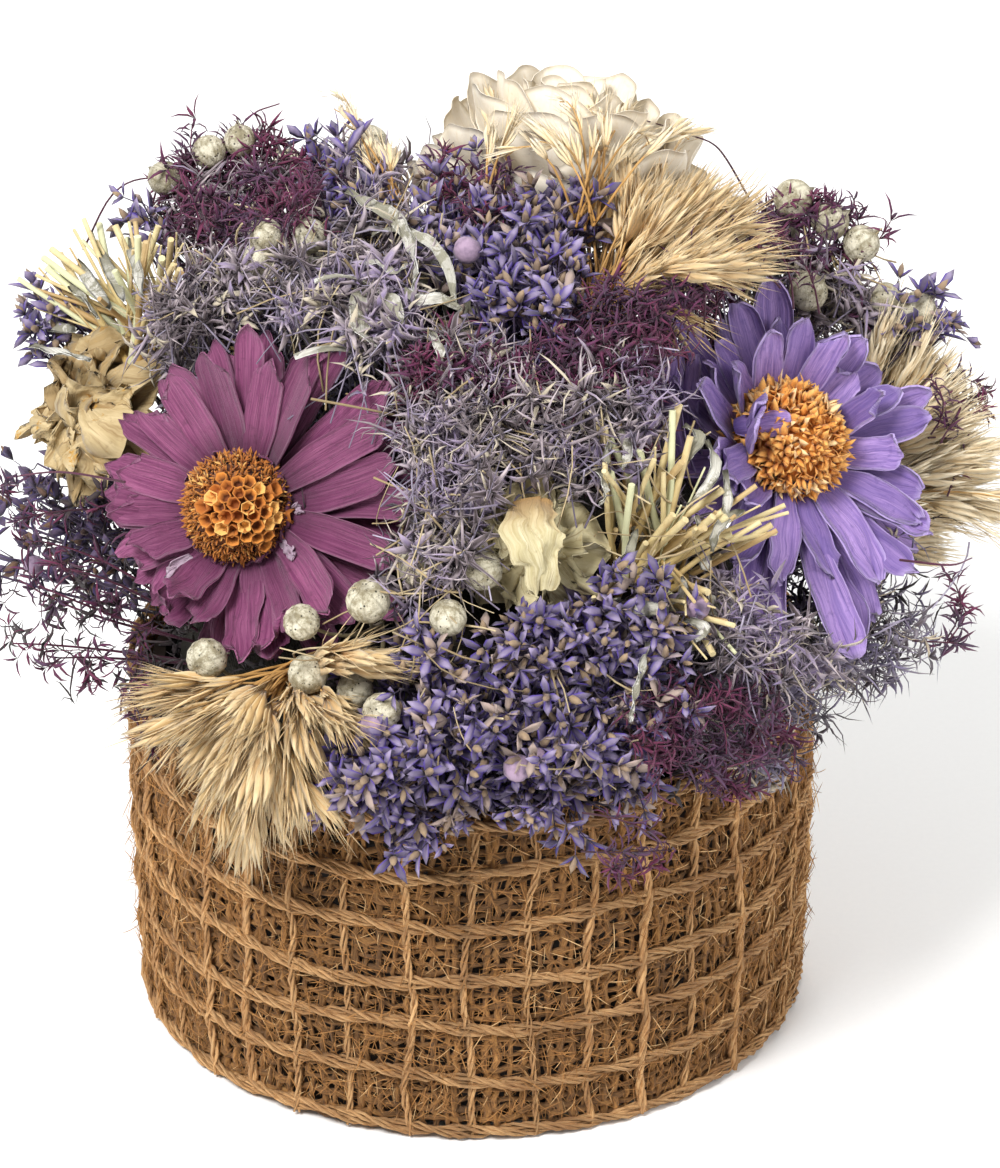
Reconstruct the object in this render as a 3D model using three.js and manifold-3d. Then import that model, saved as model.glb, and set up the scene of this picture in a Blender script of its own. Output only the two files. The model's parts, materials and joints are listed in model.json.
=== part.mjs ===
// A dried-flower arrangement in a low round pot wrapped in jute. A pot holds a block of dry
// foam. A fine hessian sleeve and a coarse jute net go round the pot. Every bloom, bunch and
// spray stands on its own pick in a plain hole in the foam, and together they make a dome.
// Millimetres, +Z up, the front towards -Y. The origin is the middle of the pot's underside.
import * as THREE from "three";
import { mergeVertices } from "three/addons/utils/BufferGeometryUtils.js";
import Module from "manifold-3d";

const wasm = await Module();
wasm.setup();

// ---- Driving dimensions -------------------------------------------------------------------
const GAP = 0.3; // clearance between pieces that touch
const SIDES = 30; // facets round the pot, the hessian and the net, lined up with each other
const POT = { foot: 44, bottom: 55.4, top: 56.4, height: 62, wall: 2.2, floor: 2.5, recess: 1.6 };
const SLEEVE = { foot: 57.9, belly: 59, rim: 58.7, height: 64.5, hem: 9, cloth: 1.2 };
const NET = { rows: 7, cord: 1.9, raised: 1.35, off: 0.45, lowest: 1.3, highest: 63.2 };
const CENTRE = new THREE.Vector3(0, 0, 45); // where the picks all point
const FOAM = { rim: 53, crown: 74, waist: 51.8, shoulder: 58, sides: 20 };
const PICK = { radius: 1.2, from: 36, sides: 4 };
const CORE = { off: 2, sides: 6, base: 0.8, skirt: 2.6 };
const RIM_LIFT = 20; // degrees above level that clears the rim, seen from CENTRE
const RIM = { radius: 63, height: 68 }; // hanging tips bend over the rim outside this
const FAN = 0.8; // thickness of a ruffled bloom's fan petals
const DAISY = { petals: 13, root: 3 }; // petals to a layer, and the radius they start at
const GOLDEN = 2.39996; // the angle between one element of a bunch and the next, in radians

// Colours, as seen in daylight.
const COLOUR = {
  pot: 0x3b2a1e, hessian: 0x6e4a28, net: 0xa87a48, foam: 0x5d5641,
  magenta: 0xa0478f, ochre: 0xc4711c, violet: 0x8f76cf, orange: 0xd98a2e, ivory: 0xefe0c4,
  tan: 0xcfa568, cream: 0xd9c795, straw: 0xcdb877, gold: 0xddb980, purple: 0x5b4596,
  lilac: 0x8d86a8, burgundy: 0x5a1f44, pod: 0xd2c9ae, ribbon: 0xd8d6c0,
};

// The dome's make-up. turn is degrees round from the front, towards +X; lift is degrees above
// level and reach is mm, both from CENTRE; spread is the half angle that the bunch takes up.
// bloom rows carry a face: the turn and lift that the flower looks towards.
const LAYOUT = [
  { name: "magenta_daisy", kind: "daisy", turn: -55, lift: 52, reach: 85, spread: 19, face: [-24, 26] },
  { name: "violet_daisy", kind: "daisy", turn: 83, lift: 49, reach: 91, spread: 19, face: [32, 42] },
  { name: "ivory_bloom", kind: "ruffle", turn: 157, lift: 66, reach: 112, spread: 15, face: [150, 74] },
  { name: "tan_bloom", kind: "crumple", turn: -99, lift: 43, reach: 97, spread: 12, face: [-62, 36] },
  { name: "cream_bloom", kind: "crumple", turn: 13, lift: 53, reach: 85, spread: 9, face: [4, 30] },
  { name: "grass_top", kind: "grass", turn: 92, lift: 73, reach: 112, spread: 12 },
  { name: "grass_front_left", kind: "grass", turn: -35, lift: 28, reach: 77, spread: 12, hang: 17 },
  { name: "grass_right", kind: "grass", turn: 106, lift: 33, reach: 104, spread: 12 },
  { name: "grass_crown", kind: "grass", turn: -160, lift: 72, reach: 108, spread: 10 },
  { name: "grass_back", kind: "grass", turn: 162, lift: 32, reach: 94, spread: 14 },
  { name: "straw_middle", kind: "straw", turn: 36, lift: 46, reach: 88, spread: 10 },
  { name: "straw_left", kind: "straw", turn: -127, lift: 46, reach: 106, spread: 11 },
  { name: "straw_back", kind: "straw", turn: -174, lift: 47, reach: 94, spread: 11 },
  { name: "florets_left", kind: "floret", turn: -9, lift: 29, reach: 82, spread: 11, hang: 9, heads: 13 },
  { name: "florets_front", kind: "floret", turn: 16, lift: 31, reach: 84, spread: 11, hang: 8, heads: 13 },
  { name: "florets_crown", kind: "floret", turn: 150, lift: 83, reach: 99, spread: 10 },
  { name: "florets_far_left", kind: "floret", turn: -107, lift: 26, reach: 97, spread: 10 },
  { name: "florets_far_right", kind: "floret", turn: 133, lift: 33, reach: 96, spread: 11 },
  { name: "florets_back", kind: "floret", turn: -160, lift: 29, reach: 91, spread: 13 },
  { name: "spray_left", kind: "spray", turn: -76, lift: 67, reach: 96, spread: 11 },
  { name: "spray_middle", kind: "spray", turn: -2, lift: 66, reach: 92, spread: 11 },
  { name: "spray_right", kind: "spray", turn: 77, lift: 27, reach: 90, spread: 10 },
  { name: "spray_low", kind: "spray", turn: 50, lift: 30, reach: 80, spread: 10 },
  { name: "moss_left", kind: "moss", turn: -76, lift: 29, reach: 95, spread: 12 },
  { name: "moss_crown", kind: "moss", turn: -133, lift: 62, reach: 108, spread: 10 },
  { name: "moss_middle", kind: "moss", turn: 40, lift: 71, reach: 94, spread: 9 },
  { name: "moss_right", kind: "moss", turn: 136, lift: 50, reach: 100, spread: 10 },
  { name: "moss_back", kind: "moss", turn: -131, lift: 28, reach: 88, spread: 12 },
  { name: "ribbons", kind: "ribbon", turn: -45, lift: 79, reach: 98, spread: 9 },
  { name: "pods_front", kind: "pod", turn: -19, lift: 46, reach: 86, spread: 9 },
  { name: "pods_crown", kind: "pod", turn: -113, lift: 69, reach: 99, spread: 8 },
  { name: "pods_right", kind: "pod", turn: 116, lift: 50, reach: 106, spread: 10 },
  { name: "pods_far_left", kind: "pod", turn: -153, lift: 57, reach: 112, spread: 8 },
];

// The outer side of each seed head: turn and lift off its bunch's axis in degrees, and reach.
const POD_PLACES = {
  pods_front: [[3, -2, 87], [-7, -5, 87], [-6, -11, 83], [10, 4, 86], [2, -11, 79]],
  pods_crown: [[-12, 4, 100], [-6, -2, 98], [8, 4, 97], [4, -5, 97]],
  pods_right: [[2, 5, 106], [9, 1, 110], [-4, 1, 104], [8, -6, 106], [0, -5, 105]],
  pods_far_left: [[-8, 2, 112], [5, 4, 110], [2, -4, 113]],
};

// ---- Small helpers -------------------------------------------------------------------------
const rad = THREE.MathUtils.degToRad;

// A seeded random number source, so that the part is the same on each run.
function seeded(seed) {
  let state = seed;
  return () => {
    state = (state * 1664525 + 1013904223) % 4294967296;
    return state / 4294967296;
  };
}

// The unit direction at a turn and lift.
function towards(turn, lift) {
  const level = Math.cos(rad(lift));
  return new THREE.Vector3(level * Math.sin(rad(turn)), -level * Math.cos(rad(turn)), Math.sin(rad(lift)));
}

// Two unit vectors square to an axis: the first is level, the second points up the dome.
function squareTo(axis) {
  const level = new THREE.Vector3(-axis.y, axis.x, 0);
  if (level.lengthSq() < 1e-6) level.set(1, 0, 0);
  level.normalize();
  return [level, new THREE.Vector3().crossVectors(axis, level).normalize()];
}

function along(from, ...steps) {
  const point = from.clone();
  for (const [direction, length] of steps) point.addScaledVector(direction, length);
  return point;
}

// A closed manifold from points and triangles, turned to face outwards.
function solidFrom(points, triangles) {
  let volume = 0;
  for (const [a, b, c] of triangles) volume += points[a].dot(points[b].clone().cross(points[c]));
  const faces = volume < 0 ? triangles.map(([a, b, c]) => [a, c, b]) : triangles;
  const mesh = new wasm.Mesh({
    numProp: 3,
    vertProperties: new Float32Array(points.flatMap((p) => [p.x, p.y, p.z])),
    triVerts: new Uint32Array(faces.flat()),
  });
  return new wasm.Manifold(mesh);
}

// A closed skin over rings of points. A ring of one point closes an end to a tip.
function loft(rings) {
  const points = rings.flat();
  const triangles = [];
  const starts = [];
  let at = 0;
  for (const ring of rings) {
    starts.push(at);
    at += ring.length;
  }
  for (let k = 0; k + 1 < rings.length; k++) {
    const sides = Math.max(rings[k].length, rings[k + 1].length);
    for (let i = 0; i < sides; i++) {
      const j = (i + 1) % sides;
      const [a, b] = rings[k].length > 1 ? [starts[k] + i, starts[k] + j] : [starts[k], starts[k]];
      const [c, d] = rings[k + 1].length > 1 ? [starts[k + 1] + i, starts[k + 1] + j]
        : [starts[k + 1], starts[k + 1]];
      if (a !== b) triangles.push([a, b, c]);
      if (c !== d) triangles.push([b, d, c]);
    }
  }
  const last = rings.length - 1;
  for (let i = 1; i + 1 < rings[0].length; i++) triangles.push([0, i + 1, i]);
  for (let i = 1; i + 1 < rings[last].length; i++) {
    triangles.push([starts[last], starts[last] + i, starts[last] + i + 1]);
  }
  return solidFrom(points, triangles);
}

// A ring of points round a centre, in the plane of two unit vectors.
function ring(centre, right, up, radius, sides, phase = 0) {
  return Array.from({ length: sides }, (_, i) => {
    const angle = phase + (2 * Math.PI * i) / sides;
    return along(centre, [right, radius * Math.cos(angle)], [up, radius * Math.sin(angle)]);
  });
}

// A round bar with a few sides and its own radius at each point.
function bar(path, radii, sides) {
  const [right, up] = squareTo(path[path.length - 1].clone().sub(path[0]).normalize());
  return loft(path.map((p, i) => (radii[i] > 0 ? ring(p, right, up, radii[i], sides) : [p])));
}

// The knee of a straight blade.
function knee(root, tip, share) {
  return root.clone().lerp(tip, share);
}

// A slim three-sided blade: pointed at both ends and thickest at its knee.
function needle(root, tip, radius, bend = knee(root, tip, 0.4)) {
  return bar([root, bend, tip], [0, radius, 0], 3);
}

// A flat diamond blade: pointed at both ends, and widest at its knee, across `flat`.
function diamond(root, tip, width, thick, flat, bend = knee(root, tip, 0.5)) {
  const run = tip.clone().sub(root).normalize();
  const side = flat.clone().cross(run).normalize();
  const up = run.cross(side).normalize();
  const belt = [along(bend, [side, width / 2]), along(bend, [up, thick / 2]),
    along(bend, [side, -width / 2]), along(bend, [up, -thick / 2])];
  return loft([[root], belt, [tip]]);
}

// A floret: a funnel that opens from its root into a star of pointed petals.
function star(root, head, radius, petals, phase) {
  const out = head.clone().sub(root).normalize();
  const [right, up] = squareTo(out);
  const rim = Array.from({ length: petals * 2 }, (_, i) => {
    const angle = phase + (Math.PI * i) / petals;
    const r = i % 2 ? radius * 0.42 : radius;
    return along(head, [right, r * Math.cos(angle)], [up, r * Math.sin(angle)], [out, i % 2 ? -1 : 0.7]);
  });
  return loft([[root], rim, [along(head, [out, -0.9])]]);
}

// A petal with a raised rib: a three-sided strip along a path, flat on its under side.
function ribbed(path, widths, thick, face) {
  const rings = path.map((p, i) => {
    const ahead = path[Math.min(i + 1, path.length - 1)].clone().sub(path[Math.max(i - 1, 0)]).normalize();
    const side = new THREE.Vector3().crossVectors(face(i), ahead).normalize();
    const up = new THREE.Vector3().crossVectors(ahead, side).normalize();
    const half = widths[i] / 2;
    return [along(p, [side, half], [up, -thick / 3]), along(p, [side, -half], [up, -thick / 3]),
      along(p, [up, (thick * 2) / 3])];
  });
  return loft(rings);
}

// A thin shell over a grid of points place(u, v), split alike on both faces.
function leaf(across, steps, thick, place) {
  const grid = [];
  for (let j = 0; j <= steps; j++) {
    for (let i = 0; i <= across; i++) grid.push(place(i / across, j / steps));
  }
  const at = (i, j) => j * (across + 1) + i;
  const normals = grid.map((_, k) => {
    const [i, j] = [k % (across + 1), Math.floor(k / (across + 1))];
    const u = grid[at(Math.min(i + 1, across), j)].clone().sub(grid[at(Math.max(i - 1, 0), j)]);
    const v = grid[at(i, Math.min(j + 1, steps))].clone().sub(grid[at(i, Math.max(j - 1, 0))]);
    return u.cross(v).normalize().multiplyScalar(thick / 2);
  });
  const top = grid.map((p, k) => p.clone().add(normals[k]));
  const under = grid.map((p, k) => p.clone().sub(normals[k]));
  const triangles = [];
  const below = grid.length;
  for (let j = 0; j < steps; j++) {
    for (let i = 0; i < across; i++) {
      const [a, b, c, d] = [at(i, j), at(i + 1, j), at(i, j + 1), at(i + 1, j + 1)];
      triangles.push([a, b, d], [a, d, c]);
      triangles.push([below + a, below + d, below + b], [below + a, below + c, below + d]);
    }
  }
  const edge = [];
  for (let i = 0; i < across; i++) edge.push(at(i, 0));
  for (let j = 0; j < steps; j++) edge.push(at(across, j));
  for (let i = across; i > 0; i--) edge.push(at(i, steps));
  for (let j = steps; j > 0; j--) edge.push(at(0, j));
  edge.forEach((a, i) => {
    const b = edge[(i + 1) % edge.length];
    triangles.push([a, below + a, b], [b, below + a, below + b]);
  });
  return solidFrom([...top, ...under], triangles);
}

// A turned solid, from a profile of [radius, height] that starts and ends on the axis or closes.
function turned(profile, sides) {
  const lathe = new THREE.LatheGeometry(profile.map(([r, z]) => new THREE.Vector2(r, z)), sides);
  lathe.rotateX(Math.PI / 2);
  const bare = new THREE.BufferGeometry().setAttribute("position", lathe.getAttribute("position"));
  const merged = mergeVertices(bare.setIndex(lathe.index), 1e-3);
  const corner = merged.getAttribute("position");
  const points = [];
  for (let i = 0; i < corner.count; i++) points.push(new THREE.Vector3().fromBufferAttribute(corner, i));
  const triangles = [];
  for (let i = 0; i < merged.index.count; i += 3) {
    const face = [0, 1, 2].map((k) => merged.index.getX(i + k));
    if (new Set(face).size === 3) triangles.push(face);
  }
  return solidFrom(points, triangles);
}

// Joins solids in pairs, which keeps each step small.
function joined(solids) {
  let row = solids;
  while (row.length > 1) {
    const next = [];
    for (let i = 0; i < row.length; i += 2) next.push(i + 1 < row.length ? row[i].add(row[i + 1]) : row[i]);
    row = next;
  }
  return row[0];
}

// ---- What is already in place, so that nothing new crosses it ------------------------------
const placed = [];

function boxesMeet(a, b) {
  return [0, 1, 2].every((k) => a.min[k] <= b.max[k] && b.min[k] <= a.max[k]);
}

// Whether a solid crosses one that is already in place.
function crosses(made) {
  const box = made.boundingBox();
  return placed.some((other) => boxesMeet(box, other.box) && !made.intersect(other.solid).isEmpty());
}

// Adds each piece that build(extra) makes clear of its neighbours. extra fattens the trial piece.
function addClear(list, build) {
  if (!crosses(build(GAP))) list.push(build(0));
}

const nodes = new THREE.Group();

// Puts a finished solid in the group as a named mesh, and marks its place as taken.
function place(name, made, colour, roughness = 0.85) {
  const bodies = made.decompose().sort((a, b) => b.volume() - a.volume());
  const solid = bodies[0];
  placed.push({ solid, box: solid.boundingBox() });
  const mesh = solid.getMesh();
  const geometry = new THREE.BufferGeometry();
  geometry.setAttribute("position", new THREE.BufferAttribute(new Float32Array(mesh.vertProperties), 3));
  geometry.setIndex(new THREE.BufferAttribute(new Uint32Array(mesh.triVerts), 1));
  const flat = geometry.toNonIndexed();
  flat.computeVertexNormals();
  const material = new THREE.MeshStandardMaterial({ color: COLOUR[colour], roughness, metalness: 0 });
  const node = new THREE.Mesh(flat, material);
  node.name = name;
  nodes.add(node);
}

// ---- The holder ------------------------------------------------------------------------------
function makePot() {
  const { foot, bottom, top, height, wall, floor, recess } = POT;
  place("pot", turned([[0, 0], [foot, 0], [foot + 1, recess], [bottom, recess], [top, height],
    [top - wall, height], [bottom - wall, floor + recess], [0, floor + recess]], SIDES), "pot");
}

// The sleeve's outer radius at a height: it swells a little at the net's middle row.
function sleeveAt(z) {
  const { foot, belly, rim } = SLEEVE;
  const middle = (NET.lowest + NET.highest) / 2;
  return z < middle ? foot + ((belly - foot) * (z - NET.lowest)) / (middle - NET.lowest)
    : belly + ((rim - belly) * (z - middle)) / (NET.highest - middle);
}

// The hessian: round the pot, and folded under its foot into the recess there.
function makeSleeve() {
  const { height, hem, cloth } = SLEEVE;
  const slack = GAP + 0.25;
  const under = POT.bottom - hem;
  const middle = (NET.lowest + NET.highest) / 2;
  place("hessian_sleeve", turned([[under, 0], [sleeveAt(NET.lowest) - 0.8, 0],
    [sleeveAt(NET.lowest), NET.lowest], [sleeveAt(middle), middle], [sleeveAt(height), height],
    [POT.top + slack, height], [POT.bottom + slack, POT.recess], [POT.bottom, cloth],
    [under, cloth], [under, 0]], SIDES), "hessian", 0.95);
}

// The open net, as one lattice: cords in rows round the hessian, and uprights from row to row.
// Each cord is three-sided, with its flat towards the cloth and its ridge raised off it.
function makeNet() {
  const { rows, cord, raised, off, lowest, highest } = NET;
  const points = [];
  const triangles = [];
  const quad = (a, b, c, d) => triangles.push([a, b, c], [a, c, d]);
  const swing = cord / 2 / SLEEVE.belly;
  for (let j = 0; j < rows; j++) {
    const z = lowest + ((highest - lowest) * j) / (rows - 1);
    for (let i = 0; i < SIDES; i++) {
      const turn = (2 * Math.PI * i) / SIDES;
      const at = (angle, height, out) => {
        const r = sleeveAt(Math.min(Math.max(height, lowest), highest)) + off + out;
        points.push(new THREE.Vector3(r * Math.sin(angle), -r * Math.cos(angle), height));
      };
      at(turn, z, raised);
      at(turn - swing, z - cord / 2, 0);
      at(turn + swing, z - cord / 2, 0);
      at(turn + swing, z + cord / 2, 0);
      at(turn - swing, z + cord / 2, 0);
    }
  }
  for (let j = 0; j < rows; j++) {
    for (let i = 0; i < SIDES; i++) {
      const [m, p, q, r, s] = [0, 1, 2, 3, 4].map((k) => (j * SIDES + i) * 5 + k);
      const [m1, p1, , , s1] = [0, 1, 2, 3, 4].map((k) => (j * SIDES + ((i + 1) % SIDES)) * 5 + k);
      quad(p, s, r, q);
      quad(q, p1, m1, m);
      quad(m, m1, s1, r);
      quad(q, r, s1, p1);
      if (j === 0) triangles.push([p, q, m]);
      if (j === rows - 1) {
        triangles.push([m, r, s]);
      } else {
        const [m2, p2, q2] = [0, 1, 2].map((k) => ((j + 1) * SIDES + i) * 5 + k);
        quad(m, m2, p2, s);
        quad(m, r, q2, m2);
        quad(s, p2, q2, r);
      }
    }
  }
  place("jute_net", solidFrom(points, triangles), "net", 0.95);
}

// How far the foam's dome stands from CENTRE at a lift.
function foamAt(lift) {
  const { rim, crown, waist } = FOAM;
  const rise = THREE.MathUtils.radToDeg(Math.acos(waist / rim));
  return rim + (crown - rim) * Math.min(Math.max((lift - rise) / (90 - rise), 0), 1);
}

// The foam block, domed over the rim, with a plain hole for each pick.
function makeFoam() {
  const { waist, shoulder, sides } = FOAM;
  const foot = POT.recess + POT.floor + GAP + 0.1;
  const profile = [[0, foot], [waist - 0.6, foot], [waist, shoulder]];
  for (const lift of [32, 52, 71]) {
    profile.push([foamAt(lift) * Math.cos(rad(lift)), CENTRE.z + foamAt(lift) * Math.sin(rad(lift))]);
  }
  profile.push([0, CENTRE.z + FOAM.crown]);
  let block = turned(profile, sides);
  for (const cell of cells) {
    block = block.subtract(pick(cell, PICK.from - 1, FOAM.crown + 6, PICK.radius + GAP + 0.15));
  }
  place("foam", block, "foam", 0.98);
}

// ---- Cells: the share of the dome that each bunch keeps to -----------------------------------
const cells = LAYOUT.map((row, index) => {
  const axis = towards(row.turn, row.lift);
  const [level, up] = squareTo(axis);
  const foot = foamAt(row.lift) + CORE.off;
  return { ...row, index, axis, level, up, foot };
});

// The planes through CENTRE that part a cell from its neighbours, and from the rim.
function fencesOf(cell) {
  const pull = (c) => c.axis.clone().divideScalar(Math.cos(rad(c.spread)));
  const fences = cells.filter((c) => c !== cell).map((c) => pull(cell).sub(pull(c)).normalize());
  for (const off of [-25, 0, 25]) {
    const inward = towards(cell.turn + off, 0).multiplyScalar(-Math.sin(rad(RIM_LIFT)));
    fences.push(inward.setZ(Math.cos(rad(RIM_LIFT))));
  }
  return fences;
}
for (const cell of cells) cell.fences = fencesOf(cell);

// A point given by degrees off a cell's axis and a distance, drawn back to stay inside the cell.
function spot(cell, across, upward, distance, share = 0.9) {
  const bent = along(cell.axis, [cell.level, Math.tan(rad(across))], [cell.up, Math.tan(rad(upward))]);
  const middle = cell.axis.clone().multiplyScalar(distance);
  const point = bent.setLength(distance);
  const most = Math.max(...cell.fences.map((n) => 1 - point.dot(n) / Math.max(middle.dot(n), 0.5)));
  if (most > share) point.lerp(middle, 1 - share / most);
  return point.add(CENTRE);
}

// The pick that a bunch stands on: a slim bar along its axis, sunk in the foam.
function pick(cell, from, to, radius) {
  const path = [from, to].map((d) => along(CENTRE, [cell.axis, d]));
  return bar(path, [radius, radius], PICK.sides);
}

// A point of a cell that stands `above` mm over the foam there.
function overFoam(cell, across, upward, above, share) {
  const point = spot(cell, across, upward, cell.foot, share).sub(CENTRE);
  const lift = THREE.MathUtils.radToDeg(Math.asin(point.z / point.length()));
  return point.setLength(foamAt(lift) + CORE.off + above).add(CENTRE);
}

// The packed middle of a bunch: a low mat over the foam that rises to a point, as tall as its
// neighbours leave room for.
function core(cell, rise) {
  const wide = cell.spread * 1.3;
  const round = (above, part) => Array.from({ length: CORE.sides }, (_, i) => {
    const angle = (2 * Math.PI * i) / CORE.sides;
    return overFoam(cell, wide * part * Math.cos(angle), wide * part * Math.sin(angle), above, part);
  });
  for (let top = rise; top > CORE.skirt + 1; top -= 2) {
    const made = loft([[along(CENTRE, [cell.axis, cell.foot])], round(0, CORE.base),
      round(CORE.skirt, CORE.base * 0.94), [along(CENTRE, [cell.axis, cell.foot + top])]]);
    if (!crosses(made)) return made;
  }
  return pick(cell, cell.foot, cell.foot + 3, PICK.radius * 2);
}

// A bunch's pieces so far: its pick and its packed middle.
function begin(cell, height) {
  const middle = core(cell, Math.max((cell.reach - cell.foot) * height, 5));
  return [pick(cell, PICK.from, cell.foot + 3, PICK.radius), middle];
}

// Even places over a cell: calls use(across, upward, share of the way out, index).
function scatter(cell, count, wide, use) {
  for (let k = 0; k < count; k++) {
    const out = Math.sqrt((k + 0.5) / count);
    const angle = k * GOLDEN + cell.index;
    use(wide * out * Math.cos(angle), wide * out * Math.sin(angle), out, k);
  }
}

// Where an element of a bunch starts: inside the packed middle, near the foam.
function rootOf(cell, across, upward) {
  return overFoam(cell, across * 0.75, upward * 0.75, 1.2, 0.68);
}

// Bends a drooping tip over the rim; returns the bend and the lowered tip.
function overRim(cell, root, tip, drop) {
  const level = Math.hypot(tip.x, tip.y);
  if (!cell.hang || level < RIM.radius + 2 || tip.z > RIM.height + 14) return { tip };
  const out = new THREE.Vector3(tip.x / level, tip.y / level, 0);
  const bend = out.clone().multiplyScalar(RIM.radius + 1.5).setZ(Math.max(RIM.height + 2, tip.z));
  return { bend, tip: tip.clone().setZ(tip.z - drop) };
}

// ---- Bunches -----------------------------------------------------------------------------------
// Feathery grass: long blades that fan out from a tight tuft, the outer ones leaning furthest.
function grass(cell, random) {
  const pieces = begin(cell, 0.3);
  scatter(cell, 15, cell.spread * 1.25, (across, upward, out) => {
    const root = rootOf(cell, across, upward);
    const straight = spot(cell, across, upward, cell.reach - 9 * out * random() - 3 * random(), 0.93);
    const { bend, tip } = overRim(cell, root, straight, cell.hang * (0.4 + 0.6 * random()));
    const arch = bend ?? knee(root, tip, 0.6).addScaledVector(cell.axis, 1.5 * random());
    const wide = 2.4 + random();
    addClear(pieces, (extra) => diamond(root, tip, wide + extra, 1 + extra, cell.axis, arch));
  });
  place(cell.name, joined(pieces), "gold");
}

// Cut straws: stiff bars of about one length, bound side by side and fanned at the cut ends.
function straw(cell, random) {
  const pieces = begin(cell, 0.3);
  scatter(cell, 11, cell.spread * 1.2, (across, upward) => {
    const root = rootOf(cell, across, upward);
    const tip = spot(cell, across, upward, cell.reach - 7 * random(), 0.9);
    addClear(pieces, (extra) => bar([root, tip], [1.15 + extra, 1.15 + extra], 3));
  });
  place(cell.name, joined(pieces), "straw");
}

// Dense small flowers: star-shaped funnels that cover the packed middle.
function florets(cell, random) {
  const pieces = begin(cell, 0.4);
  scatter(cell, cell.heads ?? 8, cell.spread * 1.15, (across, upward, out) => {
    const root = overFoam(cell, across * 0.75, upward * 0.75, 1.4, 0.66);
    const straight = spot(cell, across, upward, cell.reach - 5 * out * out - 2 * random(), 0.8);
    const { tip } = overRim(cell, root, straight, (cell.hang ?? 0) * 0.6);
    const phase = random();
    const petals = random() < 0.7 ? 4 : 5;
    addClear(pieces, (extra) => star(root, tip, 4.5 + extra, petals, phase));
  });
  place(cell.name, joined(pieces), "purple");
}

// Fine dry sprays: slim twigs, each with a side twig, that stand out all over the middle.
function twigs(cell, random, { count, side, thick, colour }) {
  const pieces = begin(cell, 0.3);
  scatter(cell, count, cell.spread * 1.25, (across, upward, out) => {
    const root = rootOf(cell, across, upward);
    const tip = spot(cell, across, upward, cell.reach - 8 * random() * (0.4 + out), 0.93);
    addClear(pieces, (extra) => diamond(root, tip, thick * 4 + extra, thick + 0.3 + extra, cell.axis));
    const run = tip.clone().sub(root);
    const [level, up] = squareTo(run.clone().normalize());
    const angle = 2 * Math.PI * random();
    const from = along(root, [run, 0.45]);
    const to = along(from, [run, 0.3], [level, side * Math.cos(angle)], [up, side * Math.sin(angle)]);
    addClear(pieces, (extra) => needle(from, to, thick + extra));
  });
  place(cell.name, joined(pieces), colour);
}

// Papery ribbons that arch out of the bunch and curl back at their tips.
function ribbons(cell) {
  const pieces = begin(cell, 0.3);
  const height = cell.reach - cell.foot;
  scatter(cell, 6, cell.spread * 1.1, (across, upward, out) => {
    const path = [rootOf(cell, across, upward)];
    for (const [lean, rise] of [[0.8, 0.75], [1.1, 1], [1.3, 0.82]]) {
      const tall = height * rise * (1.06 - 0.2 * out);
      path.push(spot(cell, across * lean, upward * lean, cell.foot + tall, 0.93));
    }
    const [level] = squareTo(cell.axis);
    addClear(pieces, (extra) => ribbed(path, [2.4, 3.4, 3.4, 1.6].map((w) => w + extra), 1.1 + extra,
      () => along(level, [cell.axis, 0.6])));
  });
  place(cell.name, joined(pieces), "ribbon");
}

// Round seed heads, each with a short point, on stalks that fork from the bunch's middle.
function pods(cell, random) {
  const pieces = begin(cell, 0.3);
  const fork = along(CENTRE, [cell.axis, cell.foot + 3]);
  for (const [turn, lift, reach] of POD_PLACES[cell.name]) {
    const out = towards(cell.turn + turn, cell.lift + lift);
    const size = 3.5 + 0.4 * random();
    const middle = along(CENTRE, [out, reach - size]);
    const [right, up] = squareTo(out);
    addClear(pieces, (extra) => {
      const r = size + extra;
      const belts = [-0.5, 0.5].map((h) => ring(along(middle, [out, r * h]), right, up,
        r * Math.sqrt(1 - h * h), 6));
      const head = loft([[along(middle, [out, -r])], ...belts, [along(middle, [out, r * 1.15])]]);
      return head.add(bar([fork, along(middle, [out, -r * 0.5])], [1, 0.7].map((w) => w + extra), 3));
    });
  }
  place(cell.name, joined(pieces), "pod");
}

// ---- Blooms --------------------------------------------------------------------------------
// A bloom's own axes: looks is the way it faces, and heart is its middle.
function bloomFrame(cell) {
  const looks = towards(...cell.face);
  const [right, up] = squareTo(looks);
  return { heart: along(CENTRE, [cell.axis, cell.reach - 8]), looks, right, up };
}

function inBloom({ heart, looks, right, up }, angle, radius, height) {
  return along(heart, [right, radius * Math.cos(angle)], [up, radius * Math.sin(angle)], [looks, height]);
}

// A bent wire stem, from its hole in the foam up to a bloom's back.
function wire(cell, frame, depth) {
  const neck = along(frame.heart, [frame.looks, -depth]);
  const top = along(CENTRE, [cell.axis, cell.foot + 4]);
  return pick(cell, PICK.from, cell.foot + 5, PICK.radius).add(bar([top, neck], [1.3, 1.3], PICK.sides));
}

// A ring of points in a bloom's own axes.
function belt(frame, sides, radius, height) {
  return ring(along(frame.heart, [frame.looks, height]), frame.right, frame.up, radius, sides);
}

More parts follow.
